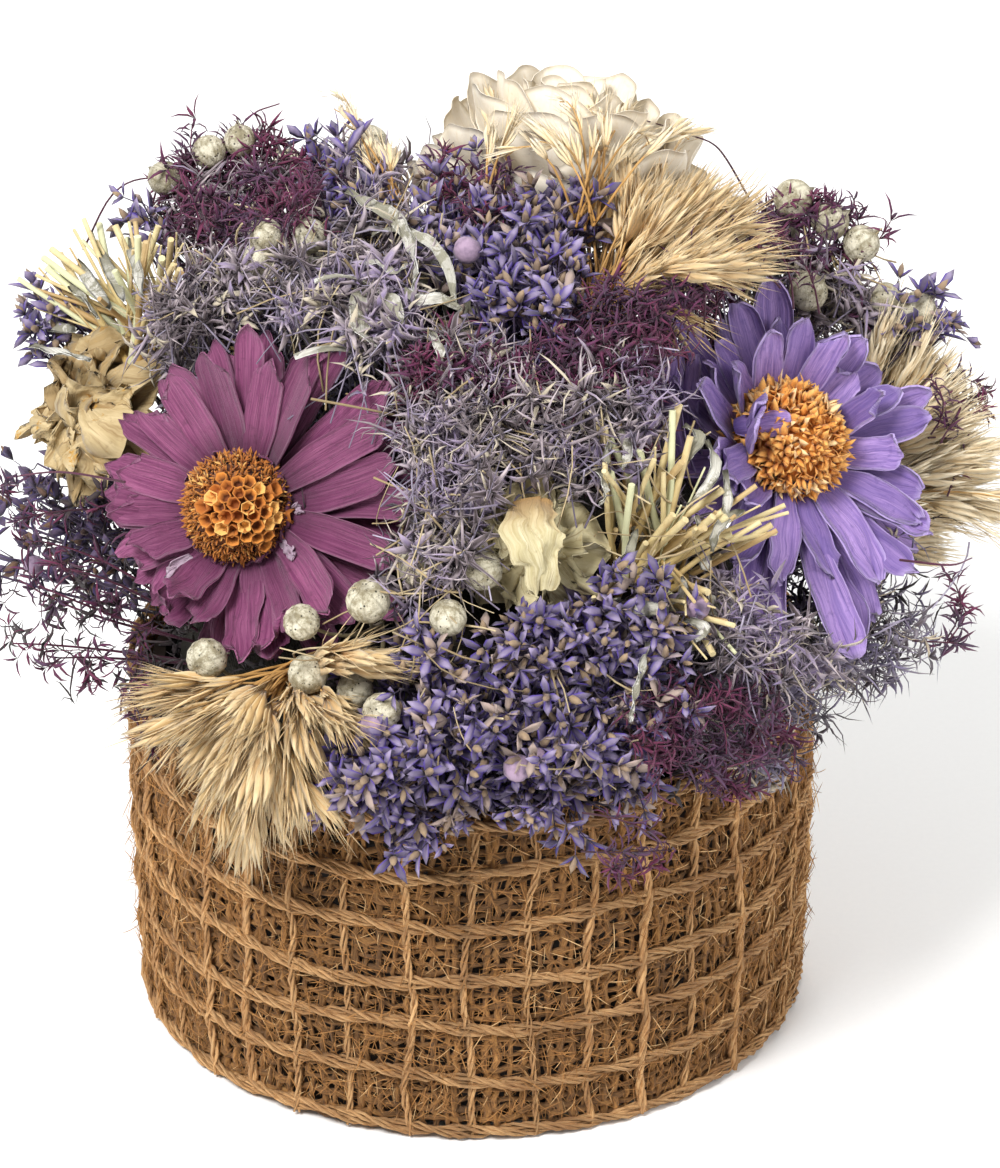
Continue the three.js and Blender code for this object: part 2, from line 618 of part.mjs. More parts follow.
// A daisy: two layers of strap petals round a domed disc, which is a node of its own.
function daisy(cell, random, { petals, disc, length, wide, lean, ragged }) {
  const frame = bloomFrame(cell);
  const pieces = [wire(cell, frame, 6),
    loft([belt(frame, 8, 2.5, -8), belt(frame, 8, 6.8, -6), belt(frame, 8, 6.8, -0.3)])];
  const layers = [{ height: -1.9, long: length, lean, offset: 0 },
    { height: -4.4, long: length * 1.04, lean: lean - 9, offset: 0.5 }];
  for (const layer of layers) {
    for (let k = 0; k < DAISY.petals; k++) {
      const angle = (2 * Math.PI * (k + layer.offset + 0.14 * (random() - 0.5))) / DAISY.petals;
      const reach = layer.long * (0.86 + 0.16 * random());
      const slope = rad(layer.lean + 5 * (random() - 0.5));
      const path = [0.14, 0.62, 1].map((s) => inBloom(frame, angle,
        DAISY.root + (reach - DAISY.root) * s * Math.cos(slope),
        layer.height - 0.9 * (k % 2) + (reach - DAISY.root) * s * s * Math.sin(slope)));
      const across = inBloom({ ...frame, heart: new THREE.Vector3() }, angle + Math.PI / 2, 1, 0);
      const roll = 0.3 * (random() - 0.5);
      addClear(pieces, (extra) => ribbed(path, [0.33, 1, 0.6].map((w) => w * wide + extra), 1.1 + extra,
        (i) => along(frame.looks, [across, roll * i * 0.5])));
    }
  }
  place(`${cell.name}_petals`, joined(pieces), petals, 0.7);
  placeDisc(cell, frame, disc, ragged);
}

// The disc: a dome whose florets are raised from it by a formula.
function placeDisc(cell, frame, colour, ragged) {
  const [sides, belts, wide, tall] = [20, 5, 10, 8.2];
  const rings = [belt(frame, sides, 5.8, 0.1)];
  for (let j = 0; j < belts; j++) {
    const lift = -0.22 + (1.62 * j) / (belts - 0.5);
    rings.push(Array.from({ length: sides }, (_, i) => {
      const raised = 1 + ((i + j) % 2 ? ragged : 0) / wide;
      return inBloom(frame, (2 * Math.PI * i) / sides, wide * Math.cos(lift) * raised,
        3 + (tall - 3) * Math.sin(lift) * raised);
    }));
  }
  place(`${cell.name}_disc`, loft([...rings, [inBloom(frame, 0, 0, tall + 0.2)]]), colour, 0.9);
}

// A full ruffled bloom: a waved heart, and round it two rings of fan petals that open wide.
function ruffle(cell, random) {
  const frame = bloomFrame(cell);
  const waved = (radius, height, wave) => Array.from({ length: 12 }, (_, i) => {
    const swell = i % 2 ? wave : -wave;
    return inBloom(frame, (2 * Math.PI * i) / 12 + height * 0.04, radius + swell, height + swell * 0.5);
  });
  const heart = loft([waved(6, -9, 0), waved(15, -1, 0.4), waved(13.5, 5, 1.4), waved(7.5, 9, 1.4),
    [inBloom(frame, 0, 0, 8)]]);
  const pieces = [wire(cell, frame, 6), heart];
  const rows = [{ count: 5, open: 62, long: 23, low: -2 }, { count: 6, open: 84, long: 26, low: -5 }];
  for (const row of rows) {
    for (let k = 0; k < row.count; k++) {
      const angle = (2 * Math.PI * (k + 0.2 * random())) / row.count + row.open;
      const open = rad(row.open + 6 * random());
      const half = Math.PI / row.count;
      const wave = 1.2 + random();
      addClear(pieces, (extra) => leaf(4, 1, FAN + extra, (u, v) => {
        const swing = angle + (u - 0.5) * 2 * half;
        const out = 10 + (row.long - 10) * v;
        const ripple = wave * v * Math.cos(u * Math.PI * 4);
        const rise = row.low + out * Math.cos(open) + ripple;
        return inBloom(frame, swing, out * Math.sin(open) + ripple * 0.4, rise);
      }));
    }
  }
  place(cell.name, joined(pieces), "ivory", 0.8);
}

// A dry crumpled flower: a few broad papery petals that fold in over a closed heart.
function crumple(cell, random, { colour, size, count }) {
  const frame = bloomFrame(cell);
  const heart = [[0.2, -0.35], [0.5, 0], [0.42, 0.4], [0.15, 0.65]]
    .map(([r, h]) => belt(frame, 6, r * size, h * size));
  const pieces = [wire(cell, frame, size * 0.2), loft(heart)];
  for (let k = 0; k < count; k++) {
    const angle = (2 * Math.PI * (k + 0.3 * random())) / count;
    const open = rad((k % 2 ? 40 : 75) + 14 * random());
    const long = size * (0.9 + 0.25 * random());
    const path = [0.2, 0.65, 1].map((v) => inBloom(frame, angle + 0.25 * v,
      long * v * Math.sin(open), long * v * Math.cos(open) + size * 0.3 * v * v));
    const across = inBloom({ ...frame, heart: new THREE.Vector3() }, angle + Math.PI / 2, 1, 0);
    addClear(pieces, (extra) => ribbed(path, [0.4, 0.85, 0.5].map((w) => w * size + extra), 1.6 + extra,
      (i) => along(frame.looks, [across, 0.3 * i])));
  }
  place(cell.name, joined(pieces), colour, 0.9);
}

// ---- Assembly --------------------------------------------------------------------------------
makePot();
makeSleeve();
makeNet();
makeFoam();

const makers = {
  daisy: (cell, random) => daisy(cell, random, cell.name === "magenta_daisy"
    ? { petals: "magenta", disc: "ochre", length: 26, wide: 8, lean: 24, ragged: 0.8 }
    : { petals: "violet", disc: "orange", length: 27, wide: 7.6, lean: 32, ragged: 1.6 }),
  ruffle,
  crumple: (cell, random) => crumple(cell, random, cell.name === "tan_bloom"
    ? { colour: "tan", size: 16, count: 7 } : { colour: "cream", size: 12, count: 6 }),
  pod: pods,
  ribbon: ribbons,
  straw,
  grass,
  floret: florets,
  spray: (cell, random) => twigs(cell, random, { count: 8, side: 5, thick: 0.8, colour: "lilac" }),
  moss: (cell, random) => twigs(cell, random, { count: 8, side: 6, thick: 0.85, colour: "burgundy" }),
};
for (const [kind, make] of Object.entries(makers)) {
  for (const cell of cells.filter((c) => c.kind === kind)) make(cell, seeded(cell.index * 7919 + 17));
}

export default nodes;
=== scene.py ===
"""A dried-flower arrangement in a jute-wrapped pot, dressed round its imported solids. Metres, +Z up."""
import json
import math
import random

import bpy
import numpy as np
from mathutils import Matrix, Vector, noise

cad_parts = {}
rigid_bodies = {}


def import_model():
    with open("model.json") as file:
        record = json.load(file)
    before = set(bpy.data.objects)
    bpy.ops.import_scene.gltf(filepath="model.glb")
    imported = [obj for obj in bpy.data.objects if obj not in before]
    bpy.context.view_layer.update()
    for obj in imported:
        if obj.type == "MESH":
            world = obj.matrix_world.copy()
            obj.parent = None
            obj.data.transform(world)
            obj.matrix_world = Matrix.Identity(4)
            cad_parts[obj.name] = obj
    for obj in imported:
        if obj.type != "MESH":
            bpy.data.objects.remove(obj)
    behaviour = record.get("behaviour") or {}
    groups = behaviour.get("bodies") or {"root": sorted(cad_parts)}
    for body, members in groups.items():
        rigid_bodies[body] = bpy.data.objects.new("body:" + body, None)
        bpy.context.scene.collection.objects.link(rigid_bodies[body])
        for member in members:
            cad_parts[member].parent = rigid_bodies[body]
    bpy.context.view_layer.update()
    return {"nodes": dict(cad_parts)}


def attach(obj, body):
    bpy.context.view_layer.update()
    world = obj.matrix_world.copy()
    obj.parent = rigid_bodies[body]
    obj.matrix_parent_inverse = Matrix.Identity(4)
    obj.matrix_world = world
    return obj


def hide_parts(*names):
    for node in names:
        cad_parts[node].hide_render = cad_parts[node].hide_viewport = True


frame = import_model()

noise.seed_set(12)  # without it, noise vectors differ from run to run
MM = 0.001
CENTRE = Vector((0, 0, 45)) * MM  # where all the picks point
GOLDEN = 2.39996  # radians from one element of a bunch to the next
RIM = {"radius": 60.5 * MM, "height": 66 * MM}  # hanging tips stay outside this
CAMERA = {"target": Vector((0.005, 0, 0.077)), "lift": 27.5, "away": 1.0, "lens": 176.7, "sensor": 36}
PHOTO = (1000, 1168)  # its size in pixels

# The dome's make-up: turn is degrees round from the front towards +X, lift is degrees above
# level, reach is mm from CENTRE and spread is the half angle that a bunch takes up.
BUNCHES = {
    "grass_top": (92, 73, 112, 12), "grass_front_left": (-35, 28, 77, 12),
    "grass_right": (106, 33, 104, 12), "grass_crown": (-160, 72, 108, 10), "grass_back": (162, 32, 94, 14),
    "straw_middle": (36, 46, 88, 10), "straw_left": (-127, 46, 106, 11), "straw_back": (-174, 47, 94, 11),
    "florets_left": (-9, 29, 82, 11), "florets_front": (16, 31, 84, 11), "florets_crown": (150, 83, 99, 10),
    "florets_far_left": (-107, 26, 97, 10), "florets_far_right": (133, 33, 96, 11),
    "florets_back": (-160, 29, 91, 13),
    "spray_left": (-76, 67, 96, 11), "spray_middle": (-2, 66, 92, 11), "spray_right": (77, 27, 90, 10),
    "spray_low": (50, 30, 80, 10),
    "moss_left": (-76, 29, 95, 12), "moss_crown": (-133, 62, 108, 10), "moss_middle": (40, 71, 94, 9),
    "moss_right": (136, 50, 100, 10), "moss_back": (-131, 28, 88, 12),
    "ribbons": (-45, 79, 98, 9),
    "pods_front": (-19, 46, 86, 9), "pods_crown": (-113, 69, 99, 8), "pods_right": (116, 50, 106, 10),
    "pods_far_left": (-153, 57, 112, 8),
}
# Each bloom: turn, lift and reach of its heart, then the turn and lift that it faces.
BLOOMS = {
    "magenta_daisy": (-55, 52, 85, -24, 26), "violet_daisy": (83, 49, 91, 32, 42),
    "ivory_bloom": (157, 66, 112, 150, 74), "tan_bloom": (-99, 43, 97, -62, 36),
    "cream_bloom": (13, 53, 85, 4, 30),
}
HEAD = 3.5 * MM  # how far a head stands past its stem
OFF_OUTLINE = 9 * MM  # how far past the outer form a thing may stand at the picture's outline
LOWEST_TIP = 71 * MM  # of the bunches that don't hang over the rim
HANGING = {"florets_left": 4, "florets_front": 3, "grass_front_left": 9, "spray_low": 5}  # mm of droop
BEND = {"start": 56 * MM, "run": 16 * MM}  # how far out hanging stems start to droop, and over how far
USUAL_REACH = 90 * MM  # of a bunch, to start the search for a pixel's place
OFF_RIM = 5 * MM  # how far hanging things stand off the rim
FOAM = {"low": 12, "side": 53, "rise": 21}  # the dome's lowest lift, its reach there, and its rise in mm
FACE_ROOM = 30 * MM  # how far in front of a bloom's heart other things stay away


# ---- Directions and places -----------------------------------------------------------------
def towards(turn, lift):
    turn, lift = math.radians(turn), math.radians(lift)
    return Vector((math.cos(lift) * math.sin(turn), -math.cos(lift) * math.cos(turn), math.sin(lift)))


def square_to(axis):
    """Two unit vectors square to an axis: the first is level, the second points up the dome."""
    level = Vector((-axis.y, axis.x, 0))
    if level.length < 1e-6:
        level = Vector((1, 0, 0))
    level.normalize()
    return level, axis.cross(level).normalized()


def camera_place():
    lift = math.radians(CAMERA["lift"])
    return CAMERA["target"] + Vector((0, -math.cos(lift), math.sin(lift))) * CAMERA["away"]


def sight(across, down):
    """The camera's place from CENTRE, and the direction in which it sees a pixel of the photograph."""
    lift = math.radians(CAMERA["lift"])
    ahead = Vector((0, math.cos(lift), -math.sin(lift)))
    up = Vector((0, math.sin(lift), math.cos(lift)))
    one = CAMERA["sensor"] / PHOTO[1] / CAMERA["lens"]
    aside = Vector((1, 0, 0)) * (across - PHOTO[0] / 2) * one
    return camera_place() - CENTRE, (ahead + aside + up * (PHOTO[1] / 2 - down) * one).normalized()


def seen(across, down, reach):
    """The point, reach metres from CENTRE, that a pixel of the photograph shows."""
    start, ray = sight(across, down)
    middle = -start.dot(ray)
    nearest = start + ray * middle
    inside = reach ** 2 - nearest.length_squared
    if inside <= 0:
        return CENTRE + nearest.normalized() * min(nearest.length, reach + OFF_OUTLINE)
    return CENTRE + start + ray * (middle - math.sqrt(inside))


def seen_on_side(across, down, radius):
    """The point on an upright round wall of this radius that a pixel of the photograph shows."""
    start, ray = sight(across, down)
    start = start + CENTRE
    a, b = ray.x ** 2 + ray.y ** 2, start.x * ray.x + start.y * ray.y
    inside = max(b * b - a * (start.x ** 2 + start.y ** 2 - radius ** 2), 0)
    return start + ray * (-b - math.sqrt(inside)) / a


def dome_reach(way):
    """How far the bunches reach in a direction: their own reaches, weighed by how near they are."""
    total = weights = 0
    for turn, lift, reach, spread in BUNCHES.values():
        apart = math.degrees(towards(turn, lift).angle(way))
        weight = math.exp(-(apart / (spread + 4)) ** 2) + 1e-6
        total += weight * reach
        weights += weight
    return total / weights * MM


def on_dome(across, down, beyond=0.0):
    """The point of the arrangement's outer form, or a little beyond it, that a pixel shows."""
    point = seen(across, down, USUAL_REACH)
    for _ in range(3):
        point = seen(across, down, dome_reach(point - CENTRE) + beyond)
    if point.z < RIM["height"]:
        point = seen_on_side(across, down, RIM["radius"] + OFF_RIM + beyond)
    return point


def on_domes(pixels, beyond):
    """The points that some pixels show, so many mm beyond the outer form."""
    return [on_dome(*pixel, beyond * MM) for pixel in pixels]


class Bunch:
    """A bunch's own axes, its reach in metres and its seeded random source."""

    def __init__(self, name):
        turn, lift, reach, spread = BUNCHES[name]
        self.name, self.lift, self.spread = name, lift, spread
        self.reach = reach * MM - HEAD  # where the stems end, so that their heads end at the reach
        self.axis = towards(turn, lift)
        self.level, self.up = square_to(self.axis)
        self.droop = HANGING.get(name, 0) * MM
        self.rng = random.Random(list(BUNCHES).index(name) * 101 + 7)

    def spot(self, across, upward, distance):
        """The point at some degrees off the axis and a distance from CENTRE, hung over the rim."""
        bent = self.axis + self.level * math.tan(math.radians(across))
        bent += self.up * math.tan(math.radians(upward))
        point = CENTRE + bent.normalized() * distance
        if not self.droop and point.z < LOWEST_TIP:
            point.z = LOWEST_TIP + (LOWEST_TIP - point.z) * 0.4
        return self.hung(point)

    def root(self, across, upward):
        bent = self.spot(across, upward, self.reach) - CENTRE
        lift = math.degrees(math.asin(bent.normalized().z))
        return CENTRE + bent.normalized() * foam_at(lift) * 0.97

    def hung(self, point):
        out = math.hypot(point.x, point.y) - BEND["start"]
        if self.droop and out > 0:
            point.z -= self.droop * min(out / BEND["run"], 1.3) ** 1.5
        return outside_rim(point)

    def scatter(self, count, wide):
        """Even places over the bunch, in degrees off its axis, with the share of the way out."""
        for k in range(count):
            out = math.sqrt((k + 0.5) / count)
            turn = k * GOLDEN + self.rng.uniform(-0.3, 0.3)
            away = self.spread * wide * out
            yield away * math.cos(turn), away * math.sin(turn), out


def outside_rim(point):
    """A point, moved out past the basket's side if it would be in it."""
    out = math.hypot(point.x, point.y)
    if point.z < RIM["height"] and 0 < out < RIM["radius"] + 2 * MM:
        share = (RIM["radius"] + 2 * MM) / out
        point.x *= share
        point.y *= share
    return point


def foam_at(lift):
    """How far the foam's dome stands from CENTRE at a lift."""
    return (FOAM["side"] + FOAM["rise"] * min(max((lift - FOAM["low"]) / (90 - FOAM["low"]), 0), 1)) * MM


def anywhere(rng):
    """An even random direction."""
    z = rng.uniform(-1, 1)
    turn = rng.uniform(0, math.tau)
    flat = math.sqrt(1 - z * z)
    return Vector((flat * math.cos(turn), flat * math.sin(turn), z))


def jittered(rng, points, loose):
    """Some points, each moved by so many mm in a direction of its own."""
    return [point + anywhere(rng) * loose * MM for point in points]


def arc(root, tip, bow, steps):
    """A path from root to tip that bows by a vector at its middle."""
    return [root.lerp(tip, t) + bow * (4 * t * (1 - t)) for t in (k / (steps - 1) for k in range(steps))]


def smoothed(points, steps=5):
    """A smooth path through some points."""
    ends = [points[0] * 2 - points[1], *points, points[-1] * 2 - points[-2]]
    path = []
    for a, b, c, d in zip(ends, ends[1:], ends[2:], ends[3:]):
        for k in range(steps):
            t = k / steps
            bend = (a * 2 - b * 5 + c * 4 - d) * t + (b * 3 - a - c * 3 + d) * t * t
            path.append(b + (c - a + bend) * t / 2)
    return path + [points[-1]]


class Bloom:
    """A bloom's axes: heart is its middle and looks the way it faces."""

    def __init__(self, name):
        turn, lift, reach, face_turn, face_lift = BLOOMS[name]
        self.looks = towards(face_turn, face_lift)
        self.right, self.up = square_to(self.looks)
        self.heart = CENTRE + towards(turn, lift) * (reach - 8) * MM

    def at(self, turn, radius, height):
        return self.heart + (self.right * math.cos(turn) + self.up * math.sin(turn)) * radius \
            + self.looks * height


# Where loose stems and leaves stay out of a bloom: its radius, how far behind its heart, and how
# much farther it reaches on its lower side.
CLEAR = {"magenta_daisy": (30, -3, -2), "violet_daisy": (27, -4, 10), "ivory_bloom": (20, -8, 0),
         "tan_bloom": (12, -4, 0), "cream_bloom": (9, -3, 0)}
BLOOM = {name: Bloom(name) for name in BLOOMS}


def free(point, margin=0, past=None):
    """Whether a point is clear of every bloom's open face, but for one that it may pass."""
    for name, (radius, behind, lower) in CLEAR.items():
        if name == past:
            continue
        away = point - BLOOM[name].heart
        height = away.dot(BLOOM[name].looks)
        across = (away - BLOOM[name].looks * height).length
        below = max(-away.dot(BLOOM[name].up), 0) / max(across, MM)
        wide = radius + margin + lower * below ** 2
        if (behind - margin) * MM < height < FACE_ROOM and across < wide * MM:
            return False
    return True


# ---- Meshes ------------------------------------------------------------------------------------
def placed(name, data):
    """A new object of the scene, made of some data."""
    made = bpy.data.objects.new(name, data)
    bpy.context.scene.collection.objects.link(made)
    return made


def mesh_object(name, points, faces, finish=None, **attributes):
    """A smooth mesh object with float attributes on its points."""
    mesh = bpy.data.meshes.new(name)
    mesh.from_pydata([tuple(p) for p in points], [], faces)
    for key, values in attributes.items():
        mesh.attributes.new(key, "FLOAT", "POINT").data.foreach_set("value", np.array(values, np.float32))
    mesh.shade_smooth()
    mesh.update()
    if finish:
        mesh.materials.append(finish)
    return placed(name, mesh)


def spokes(sides):
    """The cosine and sine of even steps round a circle."""
    return [(math.cos(math.tau * i / sides), math.sin(math.tau * i / sides)) for i in range(sides)]


class Mould:
    """One small closed form, made of blades and tubes. along is 0 at a root and 1 at a tip."""

    def __init__(self):
        self.points, self.faces, self.along, self.part, self.edge = [], [], [], [], []

    def join(self, a, b):
        if len(a) == 1:
            self.faces += [(a[0], b[(i + 1) % len(b)], b[i]) for i in range(len(b))]
        elif len(b) == 1:
            self.faces += [(a[i], a[(i + 1) % len(a)], b[0]) for i in range(len(a))]
        else:
            self.faces += [(a[i], a[(i + 1) % len(a)], b[(i + 1) % len(b)], b[i]) for i in range(len(a))]

    def loft(self, belts, part=0):
        """Joins rings in turn. A belt is its points, their along and, where it has any, their edge."""
        before = None
        for points, along, *edge in belts:
            now = list(range(len(self.points), len(self.points) + len(points)))
            self.points += points
            self.along += [along] * len(points)
            self.part += [part] * len(points)
            self.edge += edge[0] if edge else [0.0] * len(points)
            if before:
                self.join(before, now)
            before = now
        return self

    def blade(self, path, widths, thick, face, part=0):
        """A leaf pointed at both ends, with a keel below and a vein above. edge is 1 at its rims."""
        last = len(path) - 1
        belts = [([path[0]], 0)]
        for k in range(1, last):
            run = (path[k + 1] - path[k - 1]).normalized()
            side = run.cross(face).normalized()
            up = side.cross(run)
            rim = side * (widths[k - 1] / 2)
            points = [path[k] + rim, path[k] - up * thick, path[k] - rim, path[k] - up * thick * 0.35]
            belts.append((points, k / last, [1.0, 0.0, 1.0, 0.0]))
        self.loft([*belts, ([path[last]], 1)], part)

    def tube(self, path, radii, sides, part=0):
        """A round form along a path; a radius of 0 closes an end."""
        last = len(path) - 1
        right, up = square_to((path[last] - path[0]).normalized())
        belts = []
        for k, (centre, radius) in enumerate(zip(path, radii)):
            around = [centre + (right * c + up * s) * radius for c, s in spokes(sides)]
            belts.append((around if radius else [centre], k / last))
        self.loft(belts, part)

    def piece(self, name):
        return mesh_object(name, self.points, self.faces, along=self.along, part=self.part, edge=self.edge)


class Shells:
    """Thin closed petals and leaves, each from a grid of points."""

    def __init__(self):
        self.points, self.faces = [], []
        self.along, self.across, self.shade = [], [], []

    def add(self, grid, thick, shade, taper=0.3):
        grid = np.asarray(grid, float)
        rows, columns = grid.shape[:2]
        normal = np.cross(np.gradient(grid, axis=1), np.gradient(grid, axis=0))
        normal /= np.maximum(np.linalg.norm(normal, axis=2, keepdims=True), 1e-12)
        # the edge is thinner than the middle: taper is the share that its tip loses
        u = np.linspace(-1, 1, columns)[None, :, None]
        v = np.linspace(0, 1, rows)[:, None, None]
        half = thick / 2 * (1 - 0.45 * u ** 4) * (1 - taper * v ** 4)
        first = len(self.points)
        for side in (1, -1):
            self.points += [tuple(p) for p in (grid + side * half * normal).reshape(-1, 3)]
        size = rows * columns

        def at(j, i):
            return first + j * columns + i

        for j in range(rows - 1):
            for i in range(columns - 1):
                a, b, c, d = at(j, i), at(j, i + 1), at(j + 1, i + 1), at(j + 1, i)
                self.faces += [(a, b, c, d)[::-1], (a + size, b + size, c + size, d + size)]
        rim = [at(0, i) for i in range(columns)] + [at(j, columns - 1) for j in range(1, rows)]
        rim += [at(rows - 1, i) for i in range(columns - 2, -1, -1)]
        rim += [at(j, 0) for j in range(rows - 2, 0, -1)]
        for a, b in zip(rim, rim[1:] + rim[:1]):
            self.faces.append((a, b, b + size, a + size)[::-1])
        self.along += list(np.repeat(np.linspace(0, 1, rows), columns)) * 2
        self.across += list(np.tile(np.linspace(-1, 1, columns), rows)) * 2
        self.shade += [shade] * size * 2

    def piece(self, name, finish):
        return mesh_object(name, self.points, self.faces, FINISH[finish], along=self.along,
                           across=self.across, shade=self.shade)


def join(name, *pieces):
    """Joins meshes into the first of them, under a new name."""
    with bpy.context.temp_override(active_object=pieces[0], selected_editable_objects=list(pieces)):
        bpy.ops.object.join()
    pieces[0].name = name
    return pieces[0]


# ---- Node trees ------------------------------------------------------------------------------
NOISE = "ShaderNodeTexNoise"
CELLS = "ShaderNodeTexVoronoi"
MATH = "ShaderNodeMath"
VECTOR = "ShaderNodeVectorMath"
STORE = "GeometryNodeStoreNamedAttribute"
READ = "GeometryNodeInputNamedAttribute"


def add(tree, kind, inputs=(), **settings):
    """Adds a node with its settings. inputs gives each socket a value, or what it is linked from:
    a socket, or a node for its first one."""
    node = tree.nodes.new(kind)
    for key, value in settings.items():
        setattr(node, key, value)
    for key, value in dict(inputs).items():
        if isinstance(value, bpy.types.Node):
            value = value.outputs[0]
        if isinstance(value, bpy.types.NodeSocket):
            tree.links.new(value, node.inputs[key])
        else:
            node.inputs[key].default_value = value
    return node


def new_tree(name, **inputs):
    """An empty Geometry Nodes tree with named inputs after its geometry."""
    tree = bpy.data.node_groups.new(name, "GeometryNodeTree")
    tree.interface.new_socket("Geometry", in_out="INPUT", socket_type="NodeSocketGeometry")
    for label, kind in inputs.items():
        tree.interface.new_socket(label, in_out="INPUT", socket_type="NodeSocket" + kind)
    tree.interface.new_socket("Geometry", in_out="OUTPUT", socket_type="NodeSocketGeometry")
    return tree, tree.nodes.new("NodeGroupInput").outputs


def stems_and_heads():
    """Round stems along a mesh's edges, and a head from a collection on each point with a size."""
    tree, given = new_tree("stems_and_heads", stem_sides="Int", heads="Collection", stem_finish="Material",
                           head_finish="Material", seed="Int")
    shade, spin = (
        add(tree, "FunctionNodeRandomValue", {2: 0.0, 3: most, 8: given["seed"]}, data_type="FLOAT").outputs[1]
        for most in (1.0, math.tau))
    gauge, size, aim, pick = (
        add(tree, READ, {"Name": key}, data_type=kind)
        for key, kind in (("gauge", "FLOAT"), ("size", "FLOAT"), ("aim", "FLOAT_VECTOR"), ("pick", "INT")))
    along = add(tree, "GeometryNodeSplineParameter").outputs
    lines = add(tree, "GeometryNodeMeshToCurve", {"Mesh": given["Geometry"]})
    for key, value, domain in (("along", along["Factor"], "POINT"), ("run", along["Length"], "POINT"),
                               ("shade", shade, "CURVE")):
        lines = add(tree, STORE, {"Geometry": lines, "Name": key, "Value": value}, data_type="FLOAT",
                    domain=domain)
    profile = add(tree, "GeometryNodeCurvePrimitiveCircle",
                  {"Resolution": given["stem_sides"], "Radius": 1.0})
    profile = add(tree, STORE, {"Geometry": profile, "Name": "lap", "Value": along["Factor"]},
                  data_type="FLOAT", domain="POINT")
    tubes = add(tree, "GeometryNodeCurveToMesh", {
        "Curve": lines, "Profile Curve": profile, "Scale": gauge, "Fill Caps": True})
    tubes = add(tree, "GeometryNodeSetMaterial", {"Geometry": tubes, "Material": given["stem_finish"]})
    big_enough = add(tree, "FunctionNodeCompare", {0: size, 1: 1e-6}, operation="GREATER_THAN")
    moulds = add(tree, "GeometryNodeCollectionInfo", {
        "Collection": given["heads"], "Separate Children": True, "Reset Children": True})
    aimed = add(tree, "FunctionNodeAlignRotationToVector", {"Vector": aim}, axis="Z")
    spun = add(tree, "FunctionNodeAxisAngleToRotation", {"Axis": (0, 0, 1), "Angle": spin})
    turned = add(tree, "FunctionNodeRotateRotation", {"Rotation": aimed, "Rotate By": spun},
                 rotation_space="LOCAL")
    heads = add(tree, "GeometryNodeInstanceOnPoints", {
        "Points": given["Geometry"], "Selection": big_enough, "Instance": moulds, "Pick Instance": True,
        "Instance Index": pick, "Rotation": turned, "Scale": size})
    heads = add(tree, STORE, {"Geometry": heads, "Name": "shade", "Value": shade}, data_type="FLOAT",
                domain="INSTANCE")
    heads = add(tree, "GeometryNodeRealizeInstances", {"Geometry": heads})
    heads = add(tree, "GeometryNodeSetMaterial", {"Geometry": heads, "Material": given["head_finish"]})
    both = add(tree, "GeometryNodeJoinGeometry")
    for made in (heads, tubes):
        tree.links.new(made.outputs[0], both.inputs[0])
    add(tree, "NodeGroupOutput", {0: both})
    return tree


def twisted_yarn():
    """Loosely twisted plies round a mesh's edges. run is the length along a ply and lap the way round it."""
    tree, given = new_tree("twisted_yarn", ply_radius="Float", ply_offset="Float", twist_per_metre="Float",
                           step="Float", finish="Material")
    along = add(tree, "GeometryNodeSplineParameter").outputs
    lines = add(tree, "GeometryNodeMeshToCurve", {"Mesh": given["Geometry"]})
    lines = add(tree, "GeometryNodeResampleCurve", {"Curve": lines, "Length": given["step"]}, mode="LENGTH")
    normal = add(tree, "GeometryNodeInputNormal")
    tangent = add(tree, "GeometryNodeInputTangent")
    binormal = add(tree, VECTOR, {0: tangent, 1: normal}, operation="CROSS_PRODUCT")
    profile = add(tree, "GeometryNodeCurvePrimitiveCircle", {"Resolution": 5, "Radius": 1.0})
    profile = add(tree, STORE, {"Geometry": profile, "Name": "lap", "Value": along["Factor"]},
                  data_type="FLOAT", domain="POINT")
    gauge = add(tree, READ, {"Name": "gauge"}, data_type="FLOAT")
    thickness = add(tree, MATH, {0: gauge, 1: given["ply_radius"]}, operation="MULTIPLY")
    both = add(tree, "GeometryNodeJoinGeometry")
    for ply in range(3):
        turns = add(tree, MATH, {0: along["Length"], 1: given["twist_per_metre"], 2: ply * math.tau / 3},
                    operation="MULTIPLY_ADD")
        # a ply wanders in and out every 3 to 4 mm
        away = add(tree, NOISE, {"Scale": 260.0 + 40 * ply, "Detail": 1.0})
        for times in (2.2, given["ply_offset"]):
            away = add(tree, MATH, {0: away, 1: times}, operation="MULTIPLY")
        offset = []
        for wave, direction in (("COSINE", normal), ("SINE", binormal)):
            share = add(tree, MATH, {0: turns}, operation=wave)
            share = add(tree, MATH, {0: share, 1: away}, operation="MULTIPLY")
            offset.append(add(tree, VECTOR, {0: direction, "Scale": share}, operation="SCALE"))
        offset = add(tree, VECTOR, dict(enumerate(offset)), operation="ADD")
        laid = add(tree, "GeometryNodeSetPosition", {"Geometry": lines, "Offset": offset})
        shade = add(tree, "FunctionNodeRandomValue", {2: 0.0, 3: 1.0, 8: ply}, data_type="FLOAT").outputs[1]
        for key, value, domain in (("run", along["Length"], "POINT"), ("shade", shade, "CURVE")):
            laid = add(tree, STORE, {"Geometry": laid, "Name": key, "Value": value}, data_type="FLOAT",
                       domain=domain)
        tube = add(tree, "GeometryNodeCurveToMesh", {
            "Curve": laid, "Profile Curve": profile, "Scale": thickness, "Fill Caps": True})
        tree.links.new(tube.outputs[0], both.inputs[0])
    real = add(tree, "GeometryNodeRealizeInstances", {"Geometry": both})
    done = add(tree, "GeometryNodeSetMaterial", {"Geometry": real, "Material": given["finish"]})
    add(tree, "NodeGroupOutput", {0: done})
    return tree


